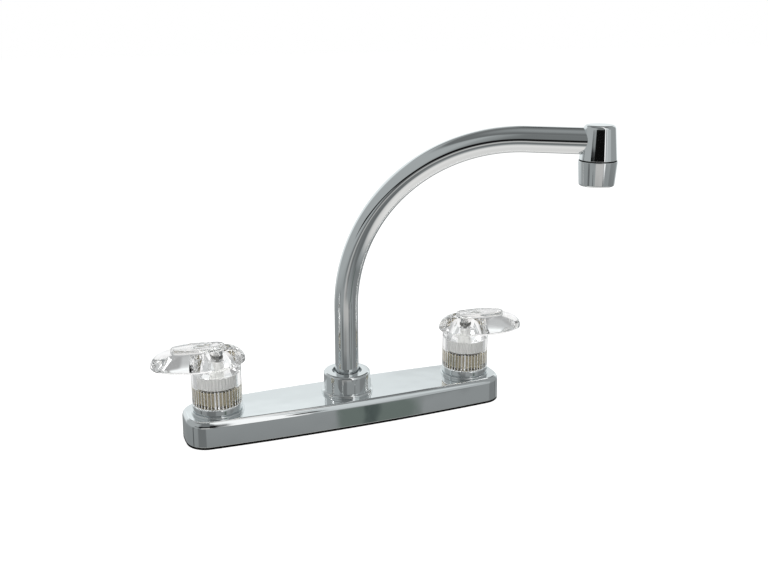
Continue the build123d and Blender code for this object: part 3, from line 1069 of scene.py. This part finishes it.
@dataclass(frozen=True)
class Oval:
    """A four-arc oval along X: two end arcs joined by two flatter side arcs."""

    half_length: float
    half_width: float
    end_radius: float
    middle: float = 0.0

    def toward(self, other: "Oval", share: float) -> "Oval":
        """Works out the oval that lies a share of the way to another one.

        Args:
            other: The other oval.
            share: Nought for this oval, one for the other.

        Returns:
            The oval between them.
        """

        def part(own: float, far: float) -> float:
            """A size that lies the same share of the way."""
            return own + (far - own) * share

        return Oval(
            part(self.half_length, other.half_length),
            part(self.half_width, other.half_width),
            part(self.end_radius, other.end_radius),
            part(self.middle, other.middle),
        )

    def grown(self, rim: float) -> "Oval":
        """The same oval, wider by a rim all round."""
        return Oval(
            self.half_length + rim, self.half_width + rim, self.end_radius + rim, self.middle
        )

    def reach(self, angle: float, inset: float = 0.0) -> float:
        """Works out how far the oval is from the origin in a direction.

        Args:
            angle: The direction, in radians from +X.
            inset: How far inside the oval to measure.

        Returns:
            The distance in millimetres.
        """
        shift = self.half_length - self.end_radius
        rise = self.half_width - self.end_radius
        side_radius = (shift**2 + rise**2) / (2 * rise) + self.end_radius
        drop = side_radius - self.half_width
        ahead = Vector((cos(angle), sin(angle)))
        for centre, radius, is_end in (
            (Vector((self.middle + shift, 0.0)), self.end_radius - inset, True),
            (Vector((self.middle - shift, 0.0)), self.end_radius - inset, True),
            (Vector((self.middle, -drop)), side_radius - inset, False),
            (Vector((self.middle, drop)), side_radius - inset, False),
        ):
            inside = centre.dot(ahead) ** 2 - centre.length_squared + radius**2
            if inside < 0:
                continue
            far = centre.dot(ahead) + sqrt(inside)
            spot = ahead * far
            on_end = abs(spot.x - self.middle) * drop >= (abs(spot.y) + drop) * shift
            if is_end:
                same_side = (spot.x - self.middle) * (centre.x - self.middle) >= 0
            else:
                same_side = spot.y * centre.y <= 0
            if on_end == is_end and same_side:
                return far
        raise ValueError("no arc lies in that direction")


# ---------------------------------------------------------------- deck


@dataclass
class Deck:
    """The cover plate, its gasket and the two base rings."""

    plan: DeckPlan
    wall: float = 1.6
    edge: float = 3.0
    edge_drop: float = 4.6  # the rounded edge reaches further down the side than across the top
    draft: float = 1.0  # degrees
    rim: float = 0.7
    edge_steps: int = 12
    rim_steps: int = 3
    gasket_inset: float = 0.1
    gasket_edge: float = 0.2
    ring_flange: float = 1.8
    ring_step: float = 1.1
    ring_bead: float = 0.6
    groove_depth: float = 1.3
    groove_height: float = 0.7
    ring_counterbore: float = 14.8
    ring_recess: float = 2.4
    ring_bore: float = 13.3
    ring_edge: float = 0.8
    ring_sides: int = 128
    valve_hole: float = 13.3
    spout_hole: float = 14.1
    hole_sides: int = 96

    def build(self, fit: Fit) -> None:
        """Makes and dresses every piece of the deck.

        Args:
            fit: Finishes each new piece and sets it on its body.
        """
        fit(self.cover(), "chrome", "deck", "deck_cover")
        fit(self.gasket(), "black_rubber", "deck", "deck_gasket")
        for side in Side:
            fit(self.base_ring(side), "chrome", "deck", f"{side.value}_base_ring")

    def cover(self) -> Piece:
        """Presses the open cover from its inner roof, round the rim, to its outer top.

        Returns:
            The finished mesh object.
        """
        outline = self.plan.outline()
        bottom, top = levels_of("deck_cover")
        roof = top - self.wall
        inner_edge = self.edge - self.wall / 2
        rings = [outline.ring(self.wall + self.edge, roof)]
        for sine, cosine in quarter(self.edge_steps)[1:]:
            inset = self.wall + inner_edge * (1 - sine)
            rings.append(outline.ring(inset, roof - inner_edge * (1 - cosine)))
        rings.append(outline.ring(self.wall, bottom))
        for sine, cosine in quarter(self.rim_steps):
            rings.append(outline.ring(self.rim * (1 - sine), bottom + self.rim * (1 - cosine)))
        lean_in = tan(radians(self.draft)) * (top - bottom - self.edge_drop)
        for sine, cosine in quarter(self.edge_steps):
            inset = lean_in + self.edge * (1 - cosine)
            rings.append(outline.ring(inset, top - self.edge_drop * (1 - sine)))
        piece = moulded("cover", rings, closed=False)
        for side in Side:
            self.drill(piece, axis_of(f"{side.value}_valve_body").x, self.valve_hole, top)
        self.drill(piece, 0.0, self.spout_hole, top)
        smooth(piece)
        return piece

    def drill(self, piece: Piece, x: float, radius: float, top: float) -> None:
        """Drills a round hole through the cover's top.

        Args:
            piece: The cover.
            x: The hole's place along the deck.
            radius: Its radius.
            top: The level of the cover's top.
        """
        deselect()
        bpy.ops.mesh.primitive_cylinder_add(
            vertices=self.hole_sides,
            radius=radius * MM,
            depth=self.wall * 4 * MM,
            location=(x * MM, 0.0, top * MM),
        )
        carve(piece, bpy.context.object)

    def gasket(self) -> Piece:
        """Cuts the gasket from sheet.

        Returns:
            The finished mesh object.
        """
        outline = self.plan.outline()
        bottom, top = levels_of("deck_gasket")
        edge = self.gasket_edge
        steps = ((edge, bottom), (0.0, bottom + edge), (0.0, top - edge), (edge, top))
        rings = [outline.ring(self.gasket_inset + inset, height) for inset, height in steps]
        piece = moulded("gasket", rings, closed=False)
        smooth(piece)
        return piece

    def base_ring(self, side: Side) -> Piece:
        """Turns the ring that the handle stands over.

        Args:
            side: The handle's side.

        Returns:
            The finished mesh object.
        """
        node = f"{side.value}_base_ring"
        low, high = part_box(node)
        bottom, top = levels_of(node)
        outer = (high.x - low.x) / 2 / MM
        flange_top = bottom + self.ring_flange
        wall = outer - self.ring_step
        groove, groove_top = wall - self.groove_depth, flange_top + self.groove_height
        floor = top - self.ring_recess
        corners = section(
            (self.ring_bore, bottom),
            (outer, bottom, 0.2),
            (outer, flange_top, self.ring_bead),
            (groove, flange_top, 0.15),
            (groove, groove_top, 0.15),
            (wall, groove_top, 0.3),
            (wall, top, self.ring_edge),
            (self.ring_counterbore, top, 0.2),
            (self.ring_counterbore, floor),
            (self.ring_bore, floor),
        )
        return turned(f"{side.value}_ring", corners, axis_of(node), sides=self.ring_sides)


class Side(Enum):
    """The two valves."""

    HOT = "hot"
    COLD = "cold"


# ---------------------------------------------------------------- spout


@dataclass
class Spout:
    """The nut, the collar, the bent tube, the outlet and its aerator."""

    heading: float = -36.0
    reach: float = 179.0
    level: float = 219.3
    tube_radius: float = 9.0
    tube_bore: float = 7.8
    bend_radius: float = 131.0
    bend_steps: int = 72
    tube_inset: float = 7.0
    tube_sides: int = 64
    tube_start: float = 18.5
    tube_middle: float = 40.0
    straight_run: float = 10.0
    nut_radius: float = 18.0
    nut_section: tuple[Corner, ...] = section(
        (14.1, 20.8),
        (20.1, 20.8, 0.2),
        (20.1, 23.4, 1.2),
        (18.0, 23.4, 0.15),
        (18.0, 37.5, 1.9),
        (11.3, 37.5, 0.4),
        (11.3, 33.9),
        (14.1, 33.9),
    )
    rib_count: int = 12
    rib_radius: float = 0.6
    rib_top: float = 32.0
    rib_foot: float = 0.3
    rib_head: float = 0.5
    rib_spread: float = 1.1
    rib_shares: tuple[float, ...] = (-1.0, -0.85, -0.6, -0.3, 0.0, 0.3, 0.6, 0.85, 1.0)
    foot_section: tuple[Corner, ...] = section(
        (7.8, 17.0),
        (11.5, 17.0, 0.3),
        (11.5, 20.0),
        (10.1, 20.0),
        (10.1, 21.9),
        (11.5, 21.9),
        (11.5, 25.0),
        (10.1, 25.0),
        (10.1, 26.9),
        (11.5, 26.9),
        (11.5, 31.5),
        (13.6, 31.5, 0.2),
        (13.6, 33.5, 0.2),
        (10.1, 33.5, 0.2),
        (10.1, 35.6, 0.4),
        (9.0, 36.6),
        (9.0, 18.5),
        (7.8, 18.5),
    )
    outlet_section: tuple[Corner, ...] = section(
        (0.6, 224.0),
        (8.0, 224.0),
        (8.0, 198.0),
        (11.2, 198.0),
        (11.2, 206.4),
        (12.0, 206.4),
        (12.0, 207.1),
        (12.75, 207.1, 0.25),
        (10.5, 230.5, 2.6),
        (0.6, 230.5),
    )
    # painted shade: the section of the thin black ring whose edge draws the shadow in the gap
    # between the outlet and the aerator
    joint_shade_section: tuple[Corner, ...] = section(
        (12.05, 206.45), (12.7, 206.45, 0.1), (12.7, 207.05, 0.1), (12.05, 207.05)
    )
    aerator_section: tuple[Corner, ...] = section(
        (9.4, 189.4, 0.3),
        (12.0, 189.4, 1.5),
        (13.2, 206.4, 0.35),
        (11.25, 206.4, 0.2),
        (11.25, 194.8),
        (10.5, 194.8),
        (10.5, 191.0),
        (9.4, 191.0, 0.2),
    )
    outlet_sides: int = 128

    def build(self, fit: Fit) -> None:
        """Makes and dresses every piece of the spout.

        Args:
            fit: Finishes each new piece and sets it on its body.
        """
        fit(self.nut(), "chrome", "deck", "spout_nut")
        foot = turned("spout_foot", self.foot_section, Vector((0.0, 0.0, 0.0)))
        fit(foot, "chrome", "spout", "spout_shank")
        fit(self.tube(), "chrome", "spout", "spout_tube")
        outlet = self.barrel("outlet", self.outlet_section, "spout_outlet", closed=False, steps=8)
        fit(outlet, "chrome", "spout", "spout_outlet")
        aerator = self.barrel("aerator", self.aerator_section, "aerator_housing")
        fit(aerator, "chrome", "spout", "aerator_housing")
        # painted shade: a thin black rubber ring sits in the joint, and its edge draws the shadow
        # in the gap as the dark line between the outlet and the aerator
        joint_shade = self.barrel("joint_shade_ring", self.joint_shade_section, "aerator_housing", shaded=False)
        fit(joint_shade, "black_rubber", "spout")

    def barrel(self, name: str, corners: Sequence[Corner], node: str, **how: object) -> Piece:
        """Turns a piece at the spout's end, on a node's axis."""
        return turned(name, corners, axis_of(node), self.outlet_sides, **how)

    def nut(self) -> Piece:
        """Turns the nut and raises its grip ribs.

        Returns:
            The finished mesh object.
        """
        angles = self.rib_angles()
        ribbed_part = self.rib_top - self.rib_head
        rings = []
        for radius, height in rounded(self.nut_section, closed=True):
            rings.append(self.ribbed(radius, height, angles, 0.0))
            if radius == self.nut_radius and height < ribbed_part:
                for level in (height + self.rib_foot, ribbed_part):
                    rings.append(self.ribbed(radius, level, angles, self.rib_radius))
                rings.append(self.ribbed(radius, self.rib_top, angles, 0.0))
        piece = moulded("nut", rings, closed=True)
        smooth(piece)
        return piece

    def rib_angles(self) -> list[float]:
        """Spreads directions round the nut, close together where the ribs stand.

        Returns:
            The directions in radians.
        """
        pitch = 2 * pi / self.rib_count
        half = asin(self.rib_radius / self.nut_radius) * self.rib_spread
        offsets = [share * half for share in self.rib_shares]
        runs = len(self.rib_shares) - 1
        gap = (pitch - 2 * half) / runs
        offsets += [half + gap * step for step in range(1, runs)]
        return [index * pitch + offset for index in range(self.rib_count) for offset in offsets]

    def ribbed(self, radius: float, height: float, angles: Sequence[float], rib: float) -> Ring:
        """Draws a level ring of the nut's wall.

        Args:
            radius: The wall's radius.
            height: The ring's level.
            angles: The directions of its points.
            rib: The ribs' radius, nought where there are none.

        Returns:
            The ring's points, in millimetres.
        """
        pitch = 2 * pi / self.rib_count
        ring = []
        for angle in angles:
            from_rib = (angle + pitch / 2) % pitch - pitch / 2
            middle = radius - rib / 2
            inside = rib**2 - (middle * sin(from_rib)) ** 2
            reach = radius if inside <= 0 else max(radius, middle * cos(from_rib) + sqrt(inside))
            ring.append(polar(reach, angle, height))
        return ring

    def route(self) -> list[tuple[Vector, Vector]]:
        """Follows the tube's middle line.

        Returns:
            Points along the line, each with its direction.
        """
        turn = radians(self.heading)
        ahead = Vector((cos(turn), sin(turn), 0.0))
        up = Vector((0.0, 0.0, 1.0))
        start = self.level - self.bend_radius
        line = [
            (up * height, up)
            for height in (self.tube_start, self.tube_middle, start - self.straight_run)
        ]
        for sine, cosine in quarter(self.bend_steps):
            spot = up * (start + self.bend_radius * sine) + ahead * (
                self.bend_radius * (1 - cosine)
            )
            line.append((spot, up * cosine + ahead * sine))
        for reach in (self.bend_radius + self.straight_run, self.reach - self.tube_inset):
            line.append((up * self.level + ahead * reach, ahead))
        return line

    def tube(self) -> Piece:
        """Bends the tube, with its bore.

        Returns:
            The finished mesh object.
        """
        turn = radians(self.heading)
        side = Vector((-sin(turn), cos(turn), 0.0))
        line = self.route()
        rings = []
        for radius, stations in ((self.tube_radius, line), (self.tube_bore, line[::-1])):
            for spot, ahead in stations:
                out = side.cross(ahead)
                circle = [polar(radius, angle, 0.0) for angle in directions(self.tube_sides)]
                rings.append([spot + side * point.x + out * point.y for point in circle])
        piece = moulded("tube", rings, closed=True)
        smooth(piece)
        return piece


# ---------------------------------------------------------------- valves


@dataclass
class Valve:
    """What shows of a valve: its threaded shank and the bonnet inside the clear handle."""

    side: Side
    bonnet_radius: float = 13.9
    bonnet_bore: float = 7.1
    bonnet_bottom: float = 30.1
    bonnet_top: float = 39.6
    bonnet_edge: float = 1.2
    shank_radius: float = 10.48
    thread_depth: float = 0.9
    thread_pitch: float = 1.814
    thread_samples: int = 6
    thread_sides: int = 64
    thread_top: float = -1.0
    crest_angle: float = 40.0  # degrees, the sharpest edge that is shaded smooth
    chamfer: float = 1.2
    inlet_bore: float = 6.0
    inlet_top: float = 7.5
    chamber_radius: float = 9.6
    flange_radius: float = 15.5
    flange_bottom: float = 1.5
    flange_top: float = 4.5
    body_radius: float = 13.2

    def build(self, fit: Fit) -> None:
        """Makes and dresses the valve's pieces.

        Args:
            fit: Finishes each new piece and sets it on its body.
        """
        name = self.side.value
        axis = axis_of(f"{name}_base_ring")
        fit(self.body(axis), "raw_brass", "deck", f"{name}_valve_body")
        # the bonnet stands round the cartridge's neck
        corners = section(
            (self.bonnet_bore, self.bonnet_bottom),
            (self.bonnet_radius, self.bonnet_bottom, 0.3),
            (self.bonnet_radius, self.bonnet_top, self.bonnet_edge),
            (self.bonnet_bore, self.bonnet_top),
        )
        fit(turned(f"{name}_bonnet", corners, axis), "raw_brass", "deck")

    def thread(self, axis: Vector, bottom: float) -> list[Ring]:
        """Winds a single-start thread, which fades out at both ends.

        Args:
            axis: The shank's axis.
            bottom: The level where the thread starts.

        Returns:
            The thread's rings, from the bottom up.
        """
        length = self.thread_top - bottom
        count = round(length / self.thread_pitch * self.thread_samples)
        rings = []
        for index in range(count + 1):
            height = bottom + length * index / count
            from_end = min(height - bottom, self.thread_top - height)
            depth = self.thread_depth * min(1.0, from_end / self.thread_pitch)
            ring = []
            for angle in directions(self.thread_sides):
                wave = cos(2 * pi * height / self.thread_pitch - angle)
                ring.append(axis + polar(self.shank_radius - depth * (1 - wave) / 2, angle, height))
            rings.append(ring)
        return rings

    def body(self, axis: Vector) -> Piece:
        """Turns the valve body with its threaded shank.

        Args:
            axis: The valve's axis.

        Returns:
            The finished mesh object.
        """
        bottom, top = levels_of(f"{self.side.value}_valve_body")
        below = ((self.inlet_bore, bottom), (self.shank_radius - self.chamfer, bottom))
        above = (
            (self.shank_radius, self.flange_bottom),
            (self.flange_radius, self.flange_bottom),
            (self.flange_radius, self.flange_top),
            (self.body_radius, self.flange_top),
            (self.body_radius, top),
            (self.chamber_radius, top),
            (self.chamber_radius, self.inlet_top),
            (self.inlet_bore, self.inlet_top),
        )
        rings = [circle_ring(axis, radius, height, self.thread_sides) for radius, height in below]
        rings += self.thread(axis, bottom + self.chamfer)
        rings += [circle_ring(axis, radius, height, self.thread_sides) for radius, height in above]
        piece = moulded(f"{self.side.value}_body", rings, closed=True)
        smooth(piece, self.crest_angle)
        return piece


# ---------------------------------------------------------------- handles


@dataclass
class Handle:
    """A clear lever handle with its insert and cap. Its own +X points to the lever's tip."""

    side: Side
    turn: float = -8.0
    slope: float = 1.2
    sides: int = 320
    flutes: int = 40
    flute_size: float = 0.7
    skirt_radius: float = 18.2
    skirt_bottom: float = 28.0
    skirt_top: float = 58.5
    skirt_shoulder: float = 1.2
    skirt_edge: float = 0.8
    cup_radius: float = 15.0
    cup_top: float = 41.0
    insert_radius: float = 14.6
    insert_top: float = 51.0
    insert_crest: float = 14.5
    insert_root: float = 14.05
    insert_hub: float = 4.6
    knurls: int = 40
    stem_hole: float = 4.05
    stem_end: float = 50.3
    screw_thread: float = 2.0
    crown_sides: int = 16
    crown: tuple[tuple[float, float, float, float, float], ...] = (
        (14.0, 51.0, 10.8, 55.0, 0.0),
        (10.8, 55.0, 6.6, 60.0, 11.25),
    )  # each tier's wide radius and its height, its narrow one and its height, and its degrees
    widest: Oval = Oval(34.05, 18.6, 11.0, 12.45)
    head_bottom: float = 55.4
    head_fall: float = 0.6  # how far the tilted underside drops by the skirt's outboard side
    head_widest: float = 59.5
    head_top: float = 69.8
    tuck: float = 9.0
    rim: float = 0.8
    head_steps: int = 12
    cap: Oval = Oval(19.4, 7.4, 4.8, 12.0)
    cap_sunk: float = 3.4
    cap_proud: float = 2.6
    cap_round: float = 1.2
    screw_hole: float = 2.45
    head_hole: float = 4.9
    head_seat: float = 62.4
    gap: float = 0.1
    recess_edge: float = 0.2
    insert_edge: float = 0.4
    cap_edge: float = 0.3
    cap_sides: int = 160
    cap_steps: int = 6
    grip_angle: float = 13.0  # degrees, the sharpest edge that is shaded smooth on each piece
    insert_angle: float = 25.0
    cap_angle: float = 20.0

    def build(self, fit: Fit) -> None:
        """Makes and dresses the handle's pieces.

        Args:
            fit: Finishes each new piece and sets it on its body.
        """
        name = self.side.value
        body = f"{name}_lever"
        fit(self.grip(), "clear_acrylic", body, f"{name}_handle")
        fit(self.insert(), "pale_plastic", body, f"{name}_handle_insert")
        fit(self.button(), "clear_acrylic", body, f"{name}_handle_cap")

    def on_axis(
        self, name: str, rings: Sequence[Ring], degrees: float, closed: bool = True
    ) -> Piece:
        """Moulds a piece about the origin, then turns it and moves it to its valve.

        Args:
            name: The piece's name, without its side.
            rings: Its rings, as for any moulded piece.
            degrees: The sharpest edge that is shaded smooth.
            closed: True to join the last ring to the first.

        Returns:
            The finished mesh object.
        """
        piece = moulded(f"{self.side.value}_{name}", rings, closed)
        place = axis_of(f"{self.side.value}_base_ring")
        turn = radians(self.turn)
        if self.side is Side.HOT:
            turn += pi
        piece.data.transform(Matrix.Rotation(turn, 4, "Z"))
        piece.data.transform(Matrix.Translation(Vector((place.x * MM, 0.0, 0.0))))
        smooth(piece, degrees)
        return piece

    def tilted(self, along: float, across: float, lift: float) -> Vector:
        """Places a point of the head from the tilted plane of the head's top.

        Args:
            along: Its place towards the lever's tip.
            across: Its place to the side.
            lift: Its height over the plane.

        Returns:
            The point, in millimetres.
        """
        slope = radians(self.slope)
        return Vector(
            (
                along * cos(slope) + lift * sin(slope),
                across,
                self.head_top - along * sin(slope) + lift * cos(slope),
            )
        )

    def level_ring(self, height: float, reach: Callable[[float], float]) -> Ring:
        """A level ring about the valve axis, from its reach by direction."""
        return [polar(reach(angle), angle, height) for angle in directions(self.sides)]

    def circle(self, radius: float, height: float) -> Ring:
        """A level round ring about the valve axis."""
        return self.level_ring(height, lambda _: radius)

    def facets(self, radius: float, height: float, turned_by: float) -> Ring:
        """Draws a level ring with the crown's flats.

        Args:
            radius: The radius at the flats' edges.
            height: The ring's level.
            turned_by: How far the flats are turned, in degrees.

        Returns:
            The ring's points, in millimetres.
        """
        half = pi / self.crown_sides
        start = radians(turned_by)
        flat = radius * cos(half)
        return self.level_ring(height, lambda a: flat / cos((a - start) % (2 * half) - half))

    def fluted(self, height: float) -> Ring:
        """Draws a level ring with the cup's flutes.

        Args:
            height: Its level.

        Returns:
            The ring's points, in millimetres.
        """
        pitch = 2 * pi / self.flutes

        def reach(angle: float) -> float:
            """How far the wall is from the axis, in a direction."""
            off = abs((angle + pitch / 2) % pitch - pitch / 2) * self.cup_radius
            return self.cup_radius + max(0.0, self.flute_size - off)

        return self.level_ring(height, reach)

    def head_ring(self, oval: Oval, inset: float, lift: float) -> Ring:
        """A ring of the head in its tilted plane."""
        flat = [polar(oval.reach(angle, inset), angle, lift) for angle in directions(self.sides)]
        return [self.tilted(*point) for point in flat]

    def neck(self, height: float) -> float:
        """Radius of the skirt where the head grows out of it, nought above its shoulder."""
        below = height - (self.skirt_top - self.skirt_shoulder)
        return self.skirt_radius - max(0.0, below) if height <= self.skirt_top else 0.0

    def underside(self) -> list[Ring]:
        """Draws the head's underside, from the skirt out to the widest section.

        Returns:
            Its rings, from the lowest.
        """
        rings = []
        for sine, cosine in reversed(quarter(self.head_steps)):
            inset = self.tuck * (1 - cosine)
            height = self.head_widest - (self.head_widest - self.head_bottom) * sine
            neck = self.neck(height)
            ring = []
            for angle in directions(self.sides):
                far = self.widest.reach(angle, inset)
                if far >= neck:
                    ring.append(self.tilted(*polar(far, angle, height - self.head_top)))
                else:
                    ring.append(polar(neck, angle, height))
            rings.append(ring)
        return rings

    def dome(self) -> list[Ring]:
        """Draws the head's lens shape, from above the widest section to the cap's recess.

        Returns:
            Its rings, from the lowest.
        """
        rim = self.cap.grown(self.rim)
        rise = self.head_top - self.head_widest
        return [
            self.head_ring(self.widest.toward(rim, 1 - cosine), 0.0, rise * (sine - 1))
            for sine, cosine in quarter(self.head_steps)[1:]
        ]

    def grip(self) -> Piece:
        """Moulds the fluted cup, the crown and the lever as one clear piece.

        Returns:
            The finished mesh object.
        """
        lead = 0.25 * self.skirt_edge
        rings = [
            self.circle(self.skirt_radius - self.skirt_edge, self.skirt_bottom),
            self.circle(self.skirt_radius - lead, self.skirt_bottom + lead),
            self.circle(self.skirt_radius, self.skirt_bottom + self.skirt_edge),
            self.circle(self.skirt_radius, self.head_bottom - self.head_fall),
        ]
        rings += self.underside()
        rings += self.dome()
        gap, edge, sunk = self.gap, self.recess_edge, -self.cap_sunk
        for grow, lift in ((gap + edge, 0.0), (gap, -edge), (gap, sunk)):
            rings.append(self.head_ring(self.cap.grown(grow), 0.0, lift))
        rings.append([self.tilted(p.x, p.y, sunk) for p in self.circle(self.head_hole, 0.0)])
        rings.append(self.circle(self.head_hole, self.head_seat))
        rings.append(self.circle(self.screw_hole, self.head_seat))
        rings.append(self.circle(self.screw_hole, self.crown[-1][3]))
        for wide, low, narrow, high, turned_by in reversed(self.crown):
            rings.append(self.facets(narrow, high, turned_by))
            rings.append(self.facets(wide, low, turned_by))
        rings.append(self.circle(self.insert_radius, self.insert_top))
        rings.append(self.circle(self.insert_radius, self.cup_top))
        rings.append(self.fluted(self.cup_top))
        rings.append(self.fluted(self.skirt_bottom))
        return self.on_axis("grip", rings, self.grip_angle)

    def knurled(self, height: float, grown: float = 0.0) -> Ring:
        """Draws a level ring of the insert's wall, with its grip grooves.

        Args:
            height: Its level.
            grown: How much wider than the wall it is.

        Returns:
            The ring's points, in millimetres.
        """
        half = (self.insert_crest - self.insert_root) / 2
        middle = self.insert_root + half + grown
        return self.level_ring(height, lambda a: middle + half * cos(self.knurls * a))

    def insert(self) -> Piece:
        """Moulds the pale insert that grips the stem, with its knurled wall and its hub.

        Returns:
            The finished mesh object.
        """
        bottom, top = levels_of(f"{self.side.value}_handle_insert")
        edge, shoulder = self.insert_edge, self.insert_top
        rings = [
            self.circle(self.stem_hole, bottom),
            self.knurled(bottom, -edge),
            self.knurled(bottom + edge),
            self.knurled(shoulder - edge),
            self.knurled(shoulder, -edge),
            self.circle(self.insert_hub + edge, shoulder),
            self.circle(self.insert_hub, shoulder + edge),
            self.circle(self.insert_hub, top - edge),
            self.circle(self.insert_hub - edge, top),
            self.circle(self.screw_thread, top),
            self.circle(self.screw_thread, self.stem_end),
            self.circle(self.stem_hole, self.stem_end),
        ]
        return self.on_axis("insert", rings, self.insert_angle)

    def button(self) -> Piece:
        """Moulds the oval cap that stands in the lever's recess.

        Returns:
            The finished mesh object.
        """
        own = Oval(self.cap.half_length, self.cap.half_width, self.cap.end_radius)

        def ring(inset: float, lift: float) -> Ring:
            """A ring of the cap, by its inset and its height over the lever."""
            flat = [
                polar(own.reach(angle, inset), angle, lift) for angle in directions(self.cap_sides)
            ]
            return [self.tilted(self.cap.middle + point.x, point.y, point.z) for point in flat]

        rings = [ring(self.cap_edge, -self.cap_sunk), ring(0.0, self.cap_edge - self.cap_sunk)]
        for sine, cosine in quarter(self.cap_steps):
            inset = self.cap_round * (1 - cosine)
            rings.append(ring(inset, self.cap_proud - self.cap_round * (1 - sine)))
        return self.on_axis("cap", rings, self.cap_angle, closed=False)


# ---------------------------------------------------------------- the whole


class Faucet:
    """The whole faucet: the frame, its finishes and its pieces in order."""

    def __init__(self, frame: dict) -> None:
        """Keeps the frame and makes the finishes."""
        self.frame = frame
        self.finishes = {slot: kind.material() for slot, kind in FINISHES.items()}

    def dress(self, piece: Piece, slot: str) -> None:
        """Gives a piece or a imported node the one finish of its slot."""
        piece.data.materials.clear()
        piece.data.materials.append(self.finishes[slot])

    def fit(self, piece: Piece, slot: str, body: str, node: str | None = None) -> None:
        """Finishes a new piece and sets it on its body.

        Args:
            piece: The new piece.
            slot: The record's material slot that it takes its finish from.
            body: The body that it rides on.
            node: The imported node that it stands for, if any.
        """
        self.dress(piece, slot)
        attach(piece, body)
        if node is not None:
            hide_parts(node)
        LOG.info("%s: %d faces, %s", piece.name, len(piece.data.polygons), slot)

    def dress_nodes(self) -> None:
        """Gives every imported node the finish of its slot."""
        slots = {part["node"]: part["material_slot"] for part in self.frame["record"]["subparts"]}
        for name, node in self.frame["nodes"].items():
            self.dress(node, slots[name])

    def build(self) -> None:
        """Builds the sub-assemblies in order."""
        self.dress_nodes()
        Deck(DeckPlan()).build(self.fit)
        Spout().build(self.fit)
        for side in Side:
            Valve(side).build(self.fit)
            Handle(side).build(self.fit)


def main() -> None:
    """Loads the frame and builds the faucet and its studio."""
    logging.basicConfig(level=logging.INFO, format="%(name)s %(message)s")
    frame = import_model()
    Studio().build()
    Faucet(frame).build()


if __name__ == "__main__":
    main()
